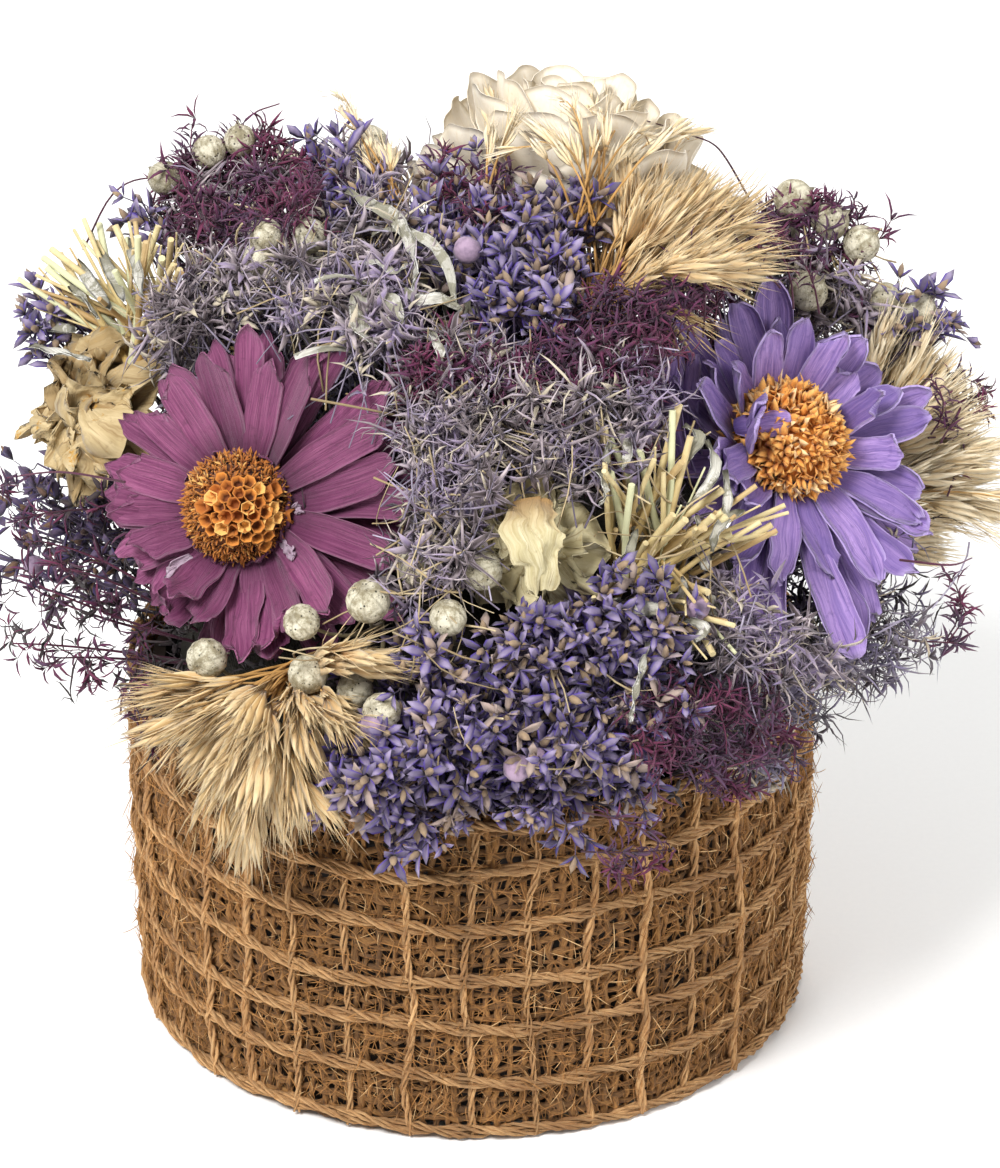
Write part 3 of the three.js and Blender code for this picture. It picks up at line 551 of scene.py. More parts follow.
def grown(host, tree, name, **inputs):
    """Runs a tree on a host mesh and returns the plain mesh that it makes, as a new object."""
    modifier = host.modifiers.new("grow", "NODES")
    modifier.node_group = tree
    for item in tree.interface.items_tree:
        if item.in_out == "INPUT" and item.name in inputs:
            modifier[item.identifier] = inputs[item.name]
    graph = bpy.context.evaluated_depsgraph_get()
    mesh = bpy.data.meshes.new_from_object(
        host.evaluated_get(graph), preserve_all_data_layers=True, depsgraph=graph)
    bpy.data.objects.remove(host)
    mesh.name = name
    mesh.shade_smooth()
    return placed(name, mesh)


class Growth:
    """Stems as polylines, and heads as lone points that carry their own aim, size and mould."""

    KEPT = (("gauge", "FLOAT", "value"), ("size", "FLOAT", "value"), ("aim", "FLOAT_VECTOR", "vector"),
            ("pick", "INT", "value"))

    def __init__(self):
        self.points, self.edges = [], []  # a point is its place, then what is kept on it

    def stem(self, path, start, end, closed=False, uneven=None):
        """A stem from one radius to another; uneven is a random source, for one that swells and thins."""
        first, last = len(self.points), len(path) - 1
        for k, point in enumerate(path):
            swell = uneven.uniform(0.75, 1.25) if uneven else 1
            self.points.append((tuple(point), (start + (end - start) * k / last) * swell, 0, (0, 0, 1), 0))
        self.edges += [(first + k, first + k + 1) for k in range(last)]
        if closed:
            self.edges.append((first + last, first))

    def head(self, point, aim, size, pick=0):
        self.points.append((tuple(point), 0, size, tuple(aim), pick))

    def host(self, name):
        points, *kept = zip(*self.points)
        mesh = bpy.data.meshes.new(name)
        mesh.from_pydata(points, self.edges, [])
        for (key, kind, slot), values in zip(self.KEPT, kept):
            mesh.attributes.new(key, kind, "POINT").data.foreach_set(slot, np.array(values).ravel())
        return placed(name, mesh)

    def piece(self, name, heads, stem_finish, head_finish, sides=4, seed=1):
        return grown(self.host(name), STEMS, name, stem_sides=sides, heads=HEADS[heads],
                     stem_finish=FINISH[stem_finish], head_finish=FINISH[head_finish], seed=seed)


STEMS = stems_and_heads()
YARN = twisted_yarn()


def keep(piece, node=None):
    """Lets a finished piece ride on the part's one body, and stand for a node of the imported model."""
    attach(piece, "root")
    if node:
        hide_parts(node)


# ---- Finishes ------------------------------------------------------------------------------------
def linear(code):
    """A colour's linear parts, from its sRGB hex code."""
    parts = [int(code[i:i + 2], 16) / 255 for i in (0, 2, 4)]
    return tuple(p / 12.92 if p <= 0.04045 else ((p + 0.055) / 1.055) ** 2.4 for p in parts) + (1.0,)


def coated(tree, colour, *coats):
    """A colour under coats of others, each a hex code or a socket. A coat is its colour, the value
    that it follows, where that value starts and ends it, and its strength at the end."""
    for over, value, start, end, most in coats:
        share = add(tree, "ShaderNodeMapRange", {0: value, 1: start, 2: end, 3: 0.0, 4: most})
        both = {key: linear(c) if isinstance(c, str) else c for key, c in ((6, colour), (7, over))}
        colour = add(tree, "ShaderNodeMix", {0: share, **both}, data_type="RGBA").outputs[2]
    return colour


def stretched(tree, *parts):
    """A place in a pattern: each of its three parts is a value times a number."""
    return add(tree, "ShaderNodeCombineXYZ", {
        axis: add(tree, MATH, {0: value, 1: times}, operation="MULTIPLY")
        for axis, (value, times) in enumerate(parts)})


def new_finish(name, reads=(), **constants):
    """A material with its shader's own constant values, the sockets of a point's place, and the values
    that it reads from the mesh."""
    material = bpy.data.materials.new(name)
    material.use_nodes = True
    tree = material.node_tree
    for key, value in constants.items():
        tree.nodes["Principled BSDF"].inputs[key.replace("_", " ")].default_value = value
    place = add(tree, "ShaderNodeTexCoord").outputs["Object"]
    read = [add(tree, "ShaderNodeAttribute", attribute_name=key).outputs["Fac"] for key in reads]
    return material, tree, place, read


def surfaced(tree, colour, height=None, strength=0.0, distance=0.0):
    """Links a finish's colour to its shader, and the height that roughens it by a distance in metres."""
    shader = tree.nodes["Principled BSDF"]
    tree.links.new(colour, shader.inputs["Base Color"])
    if height:
        rough = add(tree, "ShaderNodeBump", {"Strength": strength, "Distance": distance, "Height": height})
        tree.links.new(rough.outputs[0], shader.inputs["Normal"])


def dried(name, root, tip, deep, part=None, edge=None, odd=None, berry=None, streak=5200.0, bump=0.25,
          roughness=0.75, sheen=0.1, patches=None):
    """Dried plant: its colour runs from root to tip, each leaf differs, and fine fibres roughen it.
    deep colours its darker bits, part a second part such as a bud, edge a leaf's rims, odd one head in
    eight and berry a third part. patches are two colours that tint whole clumps."""
    material, tree, place, (along, shade, rims, parts) = new_finish(
        name, ("along", "shade", "edge", "part"), Roughness=roughness, Sheen_Weight=sheen,
        Sheen_Roughness=0.5)
    # mottled every 2.4 mm or so, with fibres 0.1 to 0.4 mm wide
    mottle = add(tree, NOISE, {"Vector": place, "Scale": 420.0, "Detail": 3.0})
    fibre = add(tree, NOISE, {"Vector": place, "Scale": streak, "Detail": 2.0})
    coats = [(tip, along, 0, 1, 1), (deep, shade, 0.5, 1, 0.8), (deep, mottle, 0.35, 0.75, 0.5)]
    if patches:
        # clumps about 10 mm across
        where = add(tree, NOISE, {"Vector": place, "Scale": 95.0, "Detail": 3.0})
        coats += [(patches[0], where, 0.52, 0.6, 0.6), (patches[1], where, 0.49, 0.43, 0.85)]
    if edge:
        coats.append((edge, rims, 0.45, 0.95, 0.95))
    if odd:
        coats.append((odd, shade, 0.13, 0.12, 0.85))
    if part:
        coats.append((coated(tree, part, (deep, mottle, 0.4, 0.7, 0.6)), parts, 0.4, 0.6, 1))
    if berry:
        coats.append((coated(tree, berry, (deep, mottle, 0.4, 0.65, 0.7)), parts, 1.4, 1.6, 1))
    surfaced(tree, coated(tree, root, *coats), fibre, bump, 0.0003)
    return material


def petal(name, body, light, deep, edge, torn, veins=9.0, roughness=0.62, throat=None, torn_from=0.68,
          rim=0.5, bump=0.75):
    """Dried petal: satin, with fine lengthwise veins, a pale thick edge and a few patches rubbed
    down to the pale tissue. A shade over 1 marks a piece that is torn all over."""
    material, tree, place, (along, across, shade) = new_finish(
        name, ("along", "across", "shade"), Roughness=roughness, Sheen_Weight=0.12, Sheen_Roughness=0.4)
    lie = stretched(tree, (across, veins), (along, 1.6), (shade, 37.0))
    vein = add(tree, NOISE, {"Vector": lie, "Scale": 1.3, "Detail": 4.0, "Roughness": 0.65})
    fine = add(tree, "ShaderNodeMapping", {"Vector": lie, "Scale": (2.6, 1.0, 1.0)})
    fine = add(tree, NOISE, {"Vector": fine, "Scale": 1.6, "Detail": 2.0})
    # rubbed patches of about 5 mm, and cracks about 1 mm apart
    rubbed = add(tree, NOISE, {"Vector": place, "Scale": 190.0, "Detail": 5.0, "Roughness": 0.7})
    crack = add(tree, NOISE, {"Vector": place, "Scale": 900.0, "Detail": 3.0})
    outer = add(tree, MATH, {0: across}, operation="ABSOLUTE")
    # towards the root: the throat colour where given, else the deep colour as painted shade where petals
    # overlap
    colour = coated(
        tree, body, (light, vein, 0.38, 0.68, 1), (deep, shade, 0.4, 1, 0.6),
        (throat or deep, along, 0.45, 0, 1), (edge, outer, 0.86, 1, rim), (edge, along, 0.93, 1, rim),
        (torn, rubbed, torn_from, torn_from + 0.03, 0.85), (torn, shade, 1.05, 1.1, 0.85),
        (deep, crack, 0.58, 0.75, 0.4), (deep, fine, 0.42, 0.3, bump * 0.85))
    surfaced(tree, colour, vein, bump, 0.0005)
    return material


def yarn_finish(name, light, body, deep):
    """Jute fibre: dull, straw to brown, with fine strands that run with the yarn."""
    material, tree, place, (run, lap, shade) = new_finish(
        name, ("run", "lap", "shade"), Roughness=0.9, Sheen_Weight=0.05, Sheen_Roughness=0.6)
    # strands about 0.15 mm wide and 4 mm long, coarse enough to show, and darker patches of about 11 mm
    lie = stretched(tree, (run, 420.0), (lap, 7.0), (shade, 60.0))
    strand = add(tree, NOISE, {"Vector": lie, "Scale": 1.0, "Detail": 4.0, "Roughness": 0.7})
    patches = add(tree, NOISE, {"Vector": place, "Scale": 90.0, "Detail": 2.0})
    colour = coated(tree, body, (light, strand, 0.42, 0.6, 1), (deep, strand, 0.46, 0.34, 0.9),
                    (deep, shade, 0, 1, 0.35), (deep, patches, 0.4, 0.65, 0.5))
    surfaced(tree, colour, strand, 1.0, 0.0007)
    return material


def pod_finish(name):
    """Dry seed head: cream skin with darker lines down its ribs, and small dark specks."""
    material, tree, place, (shade, ribs, along) = new_finish(name, ("shade", "edge", "along"), Roughness=0.65)
    cloud = add(tree, NOISE, {"Vector": place, "Scale": 480.0, "Detail": 6.0, "Roughness": 0.75})
    # specks about 0.3 mm across, in some places only
    speck = add(tree, CELLS, {"Vector": place, "Scale": 1500.0})
    some = add(tree, NOISE, {"Vector": place, "Scale": 900.0})
    skin = coated(tree, "e0d9c2", ("988e72", cloud, 0.42, 0.58, 1), ("968e74", shade, 0.4, 1, 0.45),
                  ("766d50", ribs, 0.5, 1, 0.5), ("6d6144", along, 0.86, 1, 0.6))
    specked = coated(tree, skin, ("2f2a1e", speck, 0.34, 0.22, 1))
    surfaced(tree, coated(tree, skin, (specked, some, 0.5, 0.6, 1)), cloud, 0.9, 0.0008)
    return material


FINISH = {
    # dyed daisy petals, orchid and lavender
    "magenta": petal("dyed_orchid_petal", "76305d", "a15a82", "410e30", "b27297", "c8b0c2", veins=10.0,
                     rim=0.35, bump=0.9, torn_from=0.76),
    "violet": petal("dyed_lavender_petal", "7b61a2", "a889c4", "473276", "beaadb", "dbd2ec", veins=5.0,
                    torn_from=0.8, rim=0.6),
    "ivory": petal("ivory_ruffled_petal", "ebe0cb", "f2eadc", "dac6a0", "efe6d4", "f6f0e4", veins=2.0,
                   roughness=0.8, rim=0.2, bump=0.2),
    "tan": petal("papery_tan_petal", "ac9467", "d6c298", "86693f", "c9b489", "b98a38", veins=6.0,
                 roughness=0.85,
                 throat="b9761c", rim=0.4, torn_from=0.6, bump=1.0),
    "cream": petal("papery_cream_petal", "b3a67c", "d2c8a4", "8a7248", "cfc49c", "ab7f4b", veins=6.0,
                   roughness=0.85, throat="a5804f", rim=0.4),
    "ribbon": petal("papery_white_curl", "bfbbaf", "e4e1d8", "76725f", "ecebe4", "88846f", veins=3.0,
                    roughness=0.7, torn_from=0.5, rim=0.8),
    # dry tube florets of the daisies' discs
    # the ochre's near-black root paints shade in the cups' mouths, at the florets' feet and on the disc's body
    "ochre": dried("ochre_disc_floret", "3a1503", "dc8e36", "a85c18", odd="edb968", bump=0.4, roughness=0.8),
    "orange": dried("orange_disc_floret", "cb7d2a", "fdc471", "dc8d34", odd="fbdba6", bump=0.4,
                    roughness=0.8),
    # dyed and natural small stuff
    "floret": dried("violet_floret", "54456c", "ab9cbd", "231839", part="9c8468", edge="4a3099", odd="ab9684",
                    berry="a48ba2"),
    "floret_dark": dried("dark_violet_floret", "43364f", "65526f", "211730", part="755840", edge="463573",
                         berry="8f7890"),
    "spray": dried("grey_lilac_spray", "695964", "decfcf", "3a2e37", edge="a898a3", odd="c9bda4",
                   patches=("8a78a6", "382b2c")),
    # a darker copy of the lilac spray: painted shade for the bunches under the loose sprays
    "spray_painted_shade": dried("shaded_lilac_spray", "3d3442", "8d8492", "1e171f", edge="5f556b", odd="9d9179",
                        patches=("5f547c", "251c1f")),
    "spray_grey": dried("grey_brown_spray", "564d52", "a39ba3", "373038", edge="857b88", odd="bfb095",
                        patches=("857aa0", "3a2e30")),
    "moss": dried("burgundy_moss", "360c27", "712a5a", "1c0713", edge="561a40", patches=("4c3a55", "6b2346")),
    "grass": dried("golden_feather_grass", "c08c4a", "efdcb2", "b28f54", streak=9000.0, roughness=0.6,
                   sheen=0.2, edge="ead2a2"),
    # a lighter copy of the golden grass: painted light
    "grass_painted_light": dried("feather_grass_painted_light", "dcbd85", "faf0d8", "d8bd8c", streak=9000.0, roughness=0.6,
                        sheen=0.2, edge="f5e8c8"),
    "straw": dried("cut_straw", "b79d5a", "e0d1a0", "a37a42", streak=2600.0, roughness=0.6, odd="cdd0a8"),
    "pod": pod_finish("speckled_seed_head"),
    # thin stems
    "stem_green": dried("olive_grey_stem", "7d7150", "9c8f6c", "584d38"),
    "stem_dark": dried("dark_violet_stem", "332739", "52415f", "20171f"),
    "stem_wine": dried("wine_brown_stem", "45152c", "6c284a", "280c1a"),
    "stem_lilac": dried("grey_lilac_stem", "786d80", "b9b0c4", "4a4050"),
    "stem_pale": dried("pale_dry_stalk", "a8926a", "cdbb95", "7d6a4a"),
    "stem_gold": dried("golden_grass_stem", "b1803c", "d9b072", "8a6632"),
    # near-black dry bits between the stems: their colour is painted shade for the gaps
    "shade_litter": dried("near_black_litter_painted_shade", "2a2122", "4a3b3c", "161112", edge="382c36"),
    # natural jute, and the finer brown hessian under it
    "jute": yarn_finish("natural_jute_yarn", "efc186", "cf985c", "92602f"),
    "hessian": yarn_finish("brown_hessian_yarn", "bd8848", "8f602d", "4e3114"),
    "fuzz": dried("loose_jute_fibre", "b07a3e", "cb9455", "7a4f24", odd="ecc48c", sheen=0.0),
}


# ---- Moulds for what repeats -------------------------------------------------------------------
def petal_path(lean, length, bow, turn=0.0):
    """Five points from the origin that lean off +Z and bow outwards."""
    flat = Vector((math.cos(turn), math.sin(turn), 0))
    path = []
    for k in range(4):
        t = k / 3
        angle = lean + bow * t
        path.append((flat * math.sin(angle) + Vector((0, 0, 1)) * math.cos(angle)) * length * t)
    return path, Vector((0, 0, 1)) - flat * 0.6


def mould_floret(petals, lean, bud):
    """A small dry floret: pointed petals, and a tan bud in its middle."""
    mould = Mould()
    for k in range(petals):
        spread = lean * (0.7 + 0.5 * (k % 2))
        path, face = petal_path(spread, (3.5 + 0.8 * (k % 3)) * MM, 0.5, math.tau * k / petals)
        mould.blade(path, [1.1 * MM, 1.45 * MM], 0.5 * MM, face)
    if bud:
        heights = [Vector((0, 0, h)) * MM for h in (0.2, 1.1, 2.2, 3.3)]
        mould.tube(heights, [0, 0.62 * MM, 0.5 * MM, 0], 6, part=1)
    return mould


def mould_tuft(needles, lean, length, width, bow=0.35):
    """A little burst of narrow pointed needles."""
    mould = Mould()
    for k in range(needles):
        path, face = petal_path(lean * (0.35 + 0.65 * ((k * 7) % needles) / needles),
                                length * (0.7 + 0.3 * ((k * 3) % 4) / 3), bow, k * GOLDEN)
        mould.blade(path, [width, width * 0.7], width * 0.4, face)
    return mould


def mould_husk(leaves, awns, open_):
    """A husk of grass: long keeled blades, side by side, with fine bristles that stand past them."""
    mould = Mould()
    up = Vector((0, 0, 1))
    for k in range(leaves):
        side = k - (leaves - 1) / 2
        length = 11 - 1.3 * abs(side)
        tip = (up + Vector((open_ * side, 0.03 * k, 0))) * length * MM
        path = arc(Vector(), tip, Vector((side * 0.5, 0.3, 0)) * MM, 5)
        mould.blade(path, [w * MM for w in (1.0, 1.5, 0.8)], 0.26 * MM, Vector((0, 1, 0)))
    for k in range(awns):
        turn = math.tau * k / awns
        out = Vector((math.cos(turn), math.sin(turn), 0))
        root = up * (2 + k) * MM
        tip = up * (11 + 0.8 * k) * MM + out * (1.5 + 6 * open_) * MM
        mould.blade(arc(root, tip, out * 0.4 * MM, 3), [0.17 * MM], 0.1 * MM, out)
    return mould


def mould_hair(length, bow):
    """One loose fibre, curled."""
    mould = Mould()
    path = []
    for k in range(5):
        t = k / 4
        path.append(Vector((math.sin(t * bow) * 0.4, (1 - math.cos(t * bow * 1.3)) * 0.35, t)) * length)
    mould.tube(path, [0, *[0.09 * MM] * 3, 0], 3)
    return mould


def mould_cup():
    """An open six-sided tube floret with pointed rim teeth and a dark mouth, the root colour, as painted
    shade.
    """
    belts = []
    rings = ((0.8, 0, 0, 0), (1.02, 1.45, 0.6, 0.25), (0.9, 1.4, 1, 0.2), (0.6, 0, 0, 0))
    for radius, height, along, tooth in rings:
        belts.append(([Vector((radius * c, radius * s, height + tooth * (i % 2))) * MM
                       for i, (c, s) in enumerate(spokes(6))], along))
    return Mould().loft([*belts, ([Vector((0, 0, 0.1)) * MM], 0)])


def mould_flame(shreds, long, wide):
    """A ragged dry floret: upright pointed shreds of several heights."""
    mould = Mould()
    for k in range(shreds):
        path, face = petal_path(0.12 + 0.2 * k, long * (1 - 0.17 * k), 0.35, 2.2 * k)
        mould.blade(path, [wide, wide * 0.9], 0.2 * MM, face)
    return mould


def mould_ball(radius, tall, sides, belts, ridged, point, tip_along=1.0, part=0):
    """A round body, such as a seed head, with faint ribs and a short point."""
    rings = [([Vector()], 0)]
    for j in range(1, belts):
        lift = -math.pi / 2 + math.pi * j / belts
        wide = radius * math.cos(lift)
        around = [Vector((wide * (1 + ridged * (i % 2)) * c, wide * (1 + ridged * (i % 2)) * s,
                          tall * (1 + math.sin(lift)))) for i, (c, s) in enumerate(spokes(sides))]
        rings.append((around, j / belts * tip_along, [float(i % 4 == 0) for i in range(sides)]))
    return Mould().loft([*rings, ([Vector((0, 0, 2 * tall + point))], tip_along)], part)


def collection_of(name, moulds):
    """Puts moulds in a collection, in order, for the trees to pick from."""
    group = bpy.data.collections.new(name)
    bpy.context.scene.collection.children.link(group)
    for index, mould in enumerate(moulds):
        made = mould.piece(f"mould_{name}_{index}")
        bpy.context.scene.collection.objects.unlink(made)
        group.objects.link(made)
    return group


HEADS = {
    "floret": collection_of("floret", [
        mould_floret(4, 0.45, True), mould_floret(3, 0.3, False), mould_floret(5, 0.75, True),
        mould_ball(2.2 * MM, 2.2 * MM, 10, 6, 0.03, 0.2 * MM, part=2), mould_floret(2, 0.3, True)]),
    "spray": collection_of("spray", [
        mould_tuft(4, 0.7, 4.8 * MM, 0.6 * MM, 0.7), mould_tuft(3, 0.4, 8.0 * MM, 0.36 * MM, 0.9),
        mould_tuft(4, 0.9, 4.0 * MM, 1.0 * MM, 0.9)]),
    "moss": collection_of("moss", [
        mould_tuft(4, 0.8, 5.0 * MM, 0.7 * MM, 0.8), mould_tuft(3, 1.2, 4.2 * MM, 0.6 * MM, 1.2),
        mould_tuft(3, 0.4, 6.0 * MM, 0.75 * MM, 0.6)]),
    "husk": collection_of("husk", [mould_husk(3, 5, 0.12), mould_husk(2, 4, 0.2), mould_husk(2, 7, 0.06)]),
    "hair": collection_of("hair", [
        mould_hair(6 * MM, 0.5), mould_hair(8 * MM, 0.8), mould_hair(4.5 * MM, 1.2),
        mould_hair(5.5 * MM, 1.0)]),
    "disc": collection_of("disc", [
        mould_cup(), mould_flame(5, 1.9 * MM, 0.42 * MM), mould_flame(3, 3.6 * MM, 1.3 * MM),
        mould_ball(8.0 * MM, 6.0 * MM, 24, 10, 0, 0, 0.0)]),
    "pod": collection_of("pod", [mould_ball(3.3 * MM, 3.35 * MM, 28, 16, 0.035, 1.0 * MM),
                                 mould_tuft(5, 1.3, 3.2 * MM, 0.7 * MM)]),
}


# ---- The basket ------------------------------------------------------------------------------------
# The hessian's outer radius and the height that it is at, in mm.
SLEEVE = {"foot": (57.9, 1.3), "belly": (59.0, 32.3), "rim": (58.7, 63.2)}
LOWEST_YARN = 1.0  # mm


def sleeve_at(z):
    """The hessian's outer radius at a height in mm."""
    (foot, bottom), (belly, middle), (rim, top) = SLEEVE.values()
    if z < middle:
        return foot + (belly - foot) * max(z - bottom, 0) / (middle - bottom)
    return belly + (rim - belly) * (z - middle) / (top - middle)


def on_side(turn, z, out):
    """A point on the basket's side: turn in radians, the rest in mm."""
    radius = sleeve_at(z) + out
    return Vector((radius * math.sin(turn), -radius * math.cos(turn), z)) * MM


def make_hessian():
    """The fine plain weave: uprights and rows about 2.2 mm apart, over and under in turn."""
    rng, cloth = random.Random(3), Growth()
    uprights, rows, tall = 166, 31, 63.4
    depth, wave = -0.75, 0.34  # mm: where the weave's middle lies, and how far a yarn goes over and under
    height = [LOWEST_YARN + tall * j / (rows - 1) for j in range(rows)]
    jitter = [[rng.uniform(-1, 1) for _ in range(rows)] for _ in range(uprights)]
    for i in range(uprights):
        lean = rng.uniform(-0.25, 0.25)
        path = []
        for j in range(rows):
            turn = math.tau * (i + 0.24 * jitter[i][j] + lean) / uprights
            over = 1 if (i + j) % 2 else -1
            path.append(on_side(turn, height[j] + 0.4 * jitter[i][-j], depth + wave * over))
        girth = rng.uniform(0.4, 0.72) * MM
        cloth.stem(path, girth, girth, uneven=rng)
    for j in range(rows):
        sag = rng.uniform(-0.2, 0.2)
        path = []
        for i in range(uprights):
            over = -1 if (i + j) % 2 else 1
            z = height[j] + sag + 0.45 * jitter[i][j] + 0.5 * math.sin(math.tau * 3 * i / uprights + j)
            path.append(on_side(math.tau * i / uprights, max(z, LOWEST_YARN), depth + wave * over))
        girth = rng.uniform(0.4, 0.68) * MM
        cloth.stem(path, girth, girth, closed=True, uneven=rng)
    return cloth.piece("hessian_weave", "hair", "hessian", "hessian", sides=5)


def make_net():
    """The coarse net: pairs of yarns in seven rows that cross between the uprights."""
    rng, lines = random.Random(11), Growth()
    uprights, rows = 36, 7
    height = [1.9 + 61.2 * j / (rows - 1) for j in range(rows)]
    wave = [[rng.uniform(0, math.tau) for _ in range(3)] for _ in range(rows)]

    def row_height(j, turn):
        room = 0.5 if j == 0 else 1.0  # the lowest row stays off the floor
        return height[j] + room * sum(mm * math.sin(times * turn + start) for (mm, times), start in zip(
            ((0.8, 2), (0.6, 5), (0.4, 9)), wave[j]))

    for j in range(rows):
        for strand in (-1, 1):
            path = []
            steps = uprights * 6
            for k in range(steps):
                turn = math.tau * k / steps
                cross = math.cos(turn * uprights / 2)
                over = math.sin(turn * uprights / 2)
                z = row_height(j, turn) + strand * 0.75 * cross
                path.append(on_side(turn, max(z, LOWEST_YARN), 0.75 + 0.4 * strand * over))
            lines.stem(path, 0.86, 0.86, closed=True, uneven=rng)
    for i in range(uprights):
        drift = [rng.uniform(-0.14, 0.14) for _ in range(rows + 1)]
        girth = rng.choice((0.55, 0.7, 0.8, 0.95, 1.25))
        path = []
        steps = 30
        for k in range(steps):
            z = 0.8 + 63.2 * k / (steps - 1)
            level = k / (steps - 1) * rows
            low = int(min(level, rows - 1))
            turn = math.tau * (i + drift[low] + (drift[low + 1] - drift[low]) * (level - low)) / uprights
            near = math.exp(-(min(abs(z - h) for h in height) / 2.2) ** 2)
            path.append(on_side(turn, z, 0.55 + 0.55 * near * (1 if i % 2 else -0.3)))
        lines.stem(path, girth, girth, uneven=rng)
    return grown(lines.host("net_lines"), YARN, "jute_yarn_net", ply_radius=0.38 * MM, ply_offset=0.4 * MM,
                 twist_per_metre=620.0, step=1.9 * MM, finish=FINISH["jute"])


def make_fuzz(name, count, low, high, seed):
    """Loose fibres that lie over the yarns all round, at some depths in mm from the hessian's side."""
    rng, fuzz = random.Random(seed), Growth()
    for _ in range(count):
        turn, z = rng.uniform(0, math.tau), rng.uniform(1.5, 64)
        out = Vector((math.sin(turn), -math.cos(turn), 0))
        aim = anywhere(rng)
        aim = (aim - out * aim.dot(out) * 0.97).normalized()
        if z < 9:
            aim.z = abs(aim.z) + 0.6
        fuzz.head(on_side(turn, z, rng.uniform(low, high)), aim, rng.uniform(0.35, 0.95), rng.randrange(4))
    return fuzz.piece(name, "hair", "fuzz", "fuzz", seed=seed)


# ---- Bunches ---------------------------------------------------------------------------------------
def side_twig(growth, rng, base, run, length, gauge):
    """A short curved twig off a stem; returns its tip and the way it points."""
    way = (run * rng.uniform(0.2, 0.9) + anywhere(rng) * 0.8).normalized()
    tip = outside_rim(base + way * length)
    if not free(tip, 2):
        return None, way
    growth.stem(arc(base, tip, anywhere(rng) * length * 0.15, 3), gauge, gauge * 0.7)
    return tip, way


FLORET_MIX = (2.2, 5, 0.5, 0.12, 5)  # how often each mould of the floret group comes


def grow_florets(bunch, growth, stems, each, wide=1.3, low=0.4):
    rng = bunch.rng
    for across, upward, out in bunch.scatter(stems, wide):
        root = bunch.root(across * 0.55, upward * 0.55)
        tip = bunch.spot(across, upward, bunch.reach + MM * (1 - 5 * out * out - 5 * rng.random()))
        if not free(tip, -2):
            continue
        growth.stem(arc(root, tip, anywhere(rng) * 1.5 * MM, 5), 0.4 * MM, 0.22 * MM)
        for k in range(each):
            t = low + (1 - low) * k / (each - 1)
            base = outside_rim(root.lerp(tip, t))
            run = (tip - root).normalized()
            end, way = side_twig(growth, rng, base, run, rng.uniform(1.5, 4.5) * MM, 0.14 * MM)
            if end is not None:
                growth.head(end, way, rng.uniform(0.7, 1.2), rng.choices(range(5), FLORET_MIX)[0])


def grow_twigs(bunch, growth, stems, each, wide=1.3, low=0.3, size=(0.7, 1.2), twig=(2.0, 6.0)):
    """Fine sprays and moss: wiry stems whose side twigs go every way, each with bursts of needles."""
    rng = bunch.rng
    for across, upward, out in bunch.scatter(stems, wide):
        root = bunch.root(across * 0.5, upward * 0.5)
        tip = bunch.spot(across, upward, bunch.reach + MM * (1 - 6 * out * out - 6 * rng.random()))
        if not free(tip, -2):
            continue
        growth.stem(arc(root, tip, anywhere(rng) * 3 * MM, 6), 0.32 * MM, 0.16 * MM)
        run = (tip - root).normalized()
        for k in range(each):
            base = outside_rim(root.lerp(tip, low + (1 - low) * k / (each - 1)))
            end, way = side_twig(growth, rng, base, run, rng.uniform(*twig) * MM, 0.12 * MM)
            if end is not None:
                growth.head(end, way, rng.uniform(*size), rng.randrange(3))
                aside = (way + anywhere(rng) * 0.6).normalized()
                growth.head(base.lerp(end, 0.4), aside, rng.uniform(*size), rng.randrange(3))


def husked(growth, rng, path, each, start=0.35, end=0.9, size=(0.6, 1.1), past=None):
    """A stalk with husks along its outer part, nearly in line with it."""
    growth.stem(path, 0.28 * MM, 0.12 * MM)
    last = len(path) - 1
    for k in range(each):
        t = start + (end - start) * (k + rng.random() * 0.5) / each
        index = min(int(t * last), last - 1)
        base = path[index].lerp(path[index + 1], t * last - index)
        run = (path[index + 1] - path[index]).normalized()
        way = (run + anywhere(rng) * 0.24).normalized()
        if free(base + way * 8 * MM, -3, past):
            growth.head(base, way, rng.uniform(*size), rng.choices((0, 1, 2), (4, 3, 2))[0])


def grow_grass(bunch, growth, stems, each, wide=1.25):
    """Feathery grass: arched stalks that fan out from a tight tuft, thick with husks to their tips."""
    rng = bunch.rng
    for across, upward, out in bunch.scatter(stems, wide):
        root = bunch.root(across * 0.3, upward * 0.3)
        tip = bunch.spot(across, upward, bunch.reach - MM * (7 + 5 * out * out + 6 * rng.random()))
        bow = bunch.axis * 2.5 * MM * rng.random() + anywhere(rng) * 1.5 * MM
        husked(growth, rng, [bunch.hung(point) for point in arc(root, tip, bow, 7)], each)


def fan(growth, rng, root, places, each, rise, size=(0.6, 1.25), past=None):
    """A tuft of grass whose stalks arch from one root to chosen places."""
    for tip in places:
        away = (tip - CENTRE).normalized()
        path = arc(root + anywhere(rng) * 2.5 * MM, tip, away * rise * rng.uniform(0.5, 1.2), 7)
        husked(growth, rng, path, each, size=size, past=past)


def grow_straw(bunch, growth, count, wide=1.25):
    """Cut straws of about one length, with thin stalks between them."""
    rng = bunch.rng
    for across, upward, _ in bunch.scatter(count, wide):
        root = bunch.root(across * 0.45, upward * 0.45)
        tip = bunch.spot(across, upward, bunch.reach - 9 * rng.random() * MM) + anywhere(rng) * 2 * MM
        if free(tip, -3):
            gauge = rng.choice((0.2, 0.35, 0.5, 0.6, 0.7)) * MM
            growth.stem([root, root.lerp(tip, 0.5) + anywhere(rng) * 0.5 * MM, tip], gauge, gauge * 0.9)


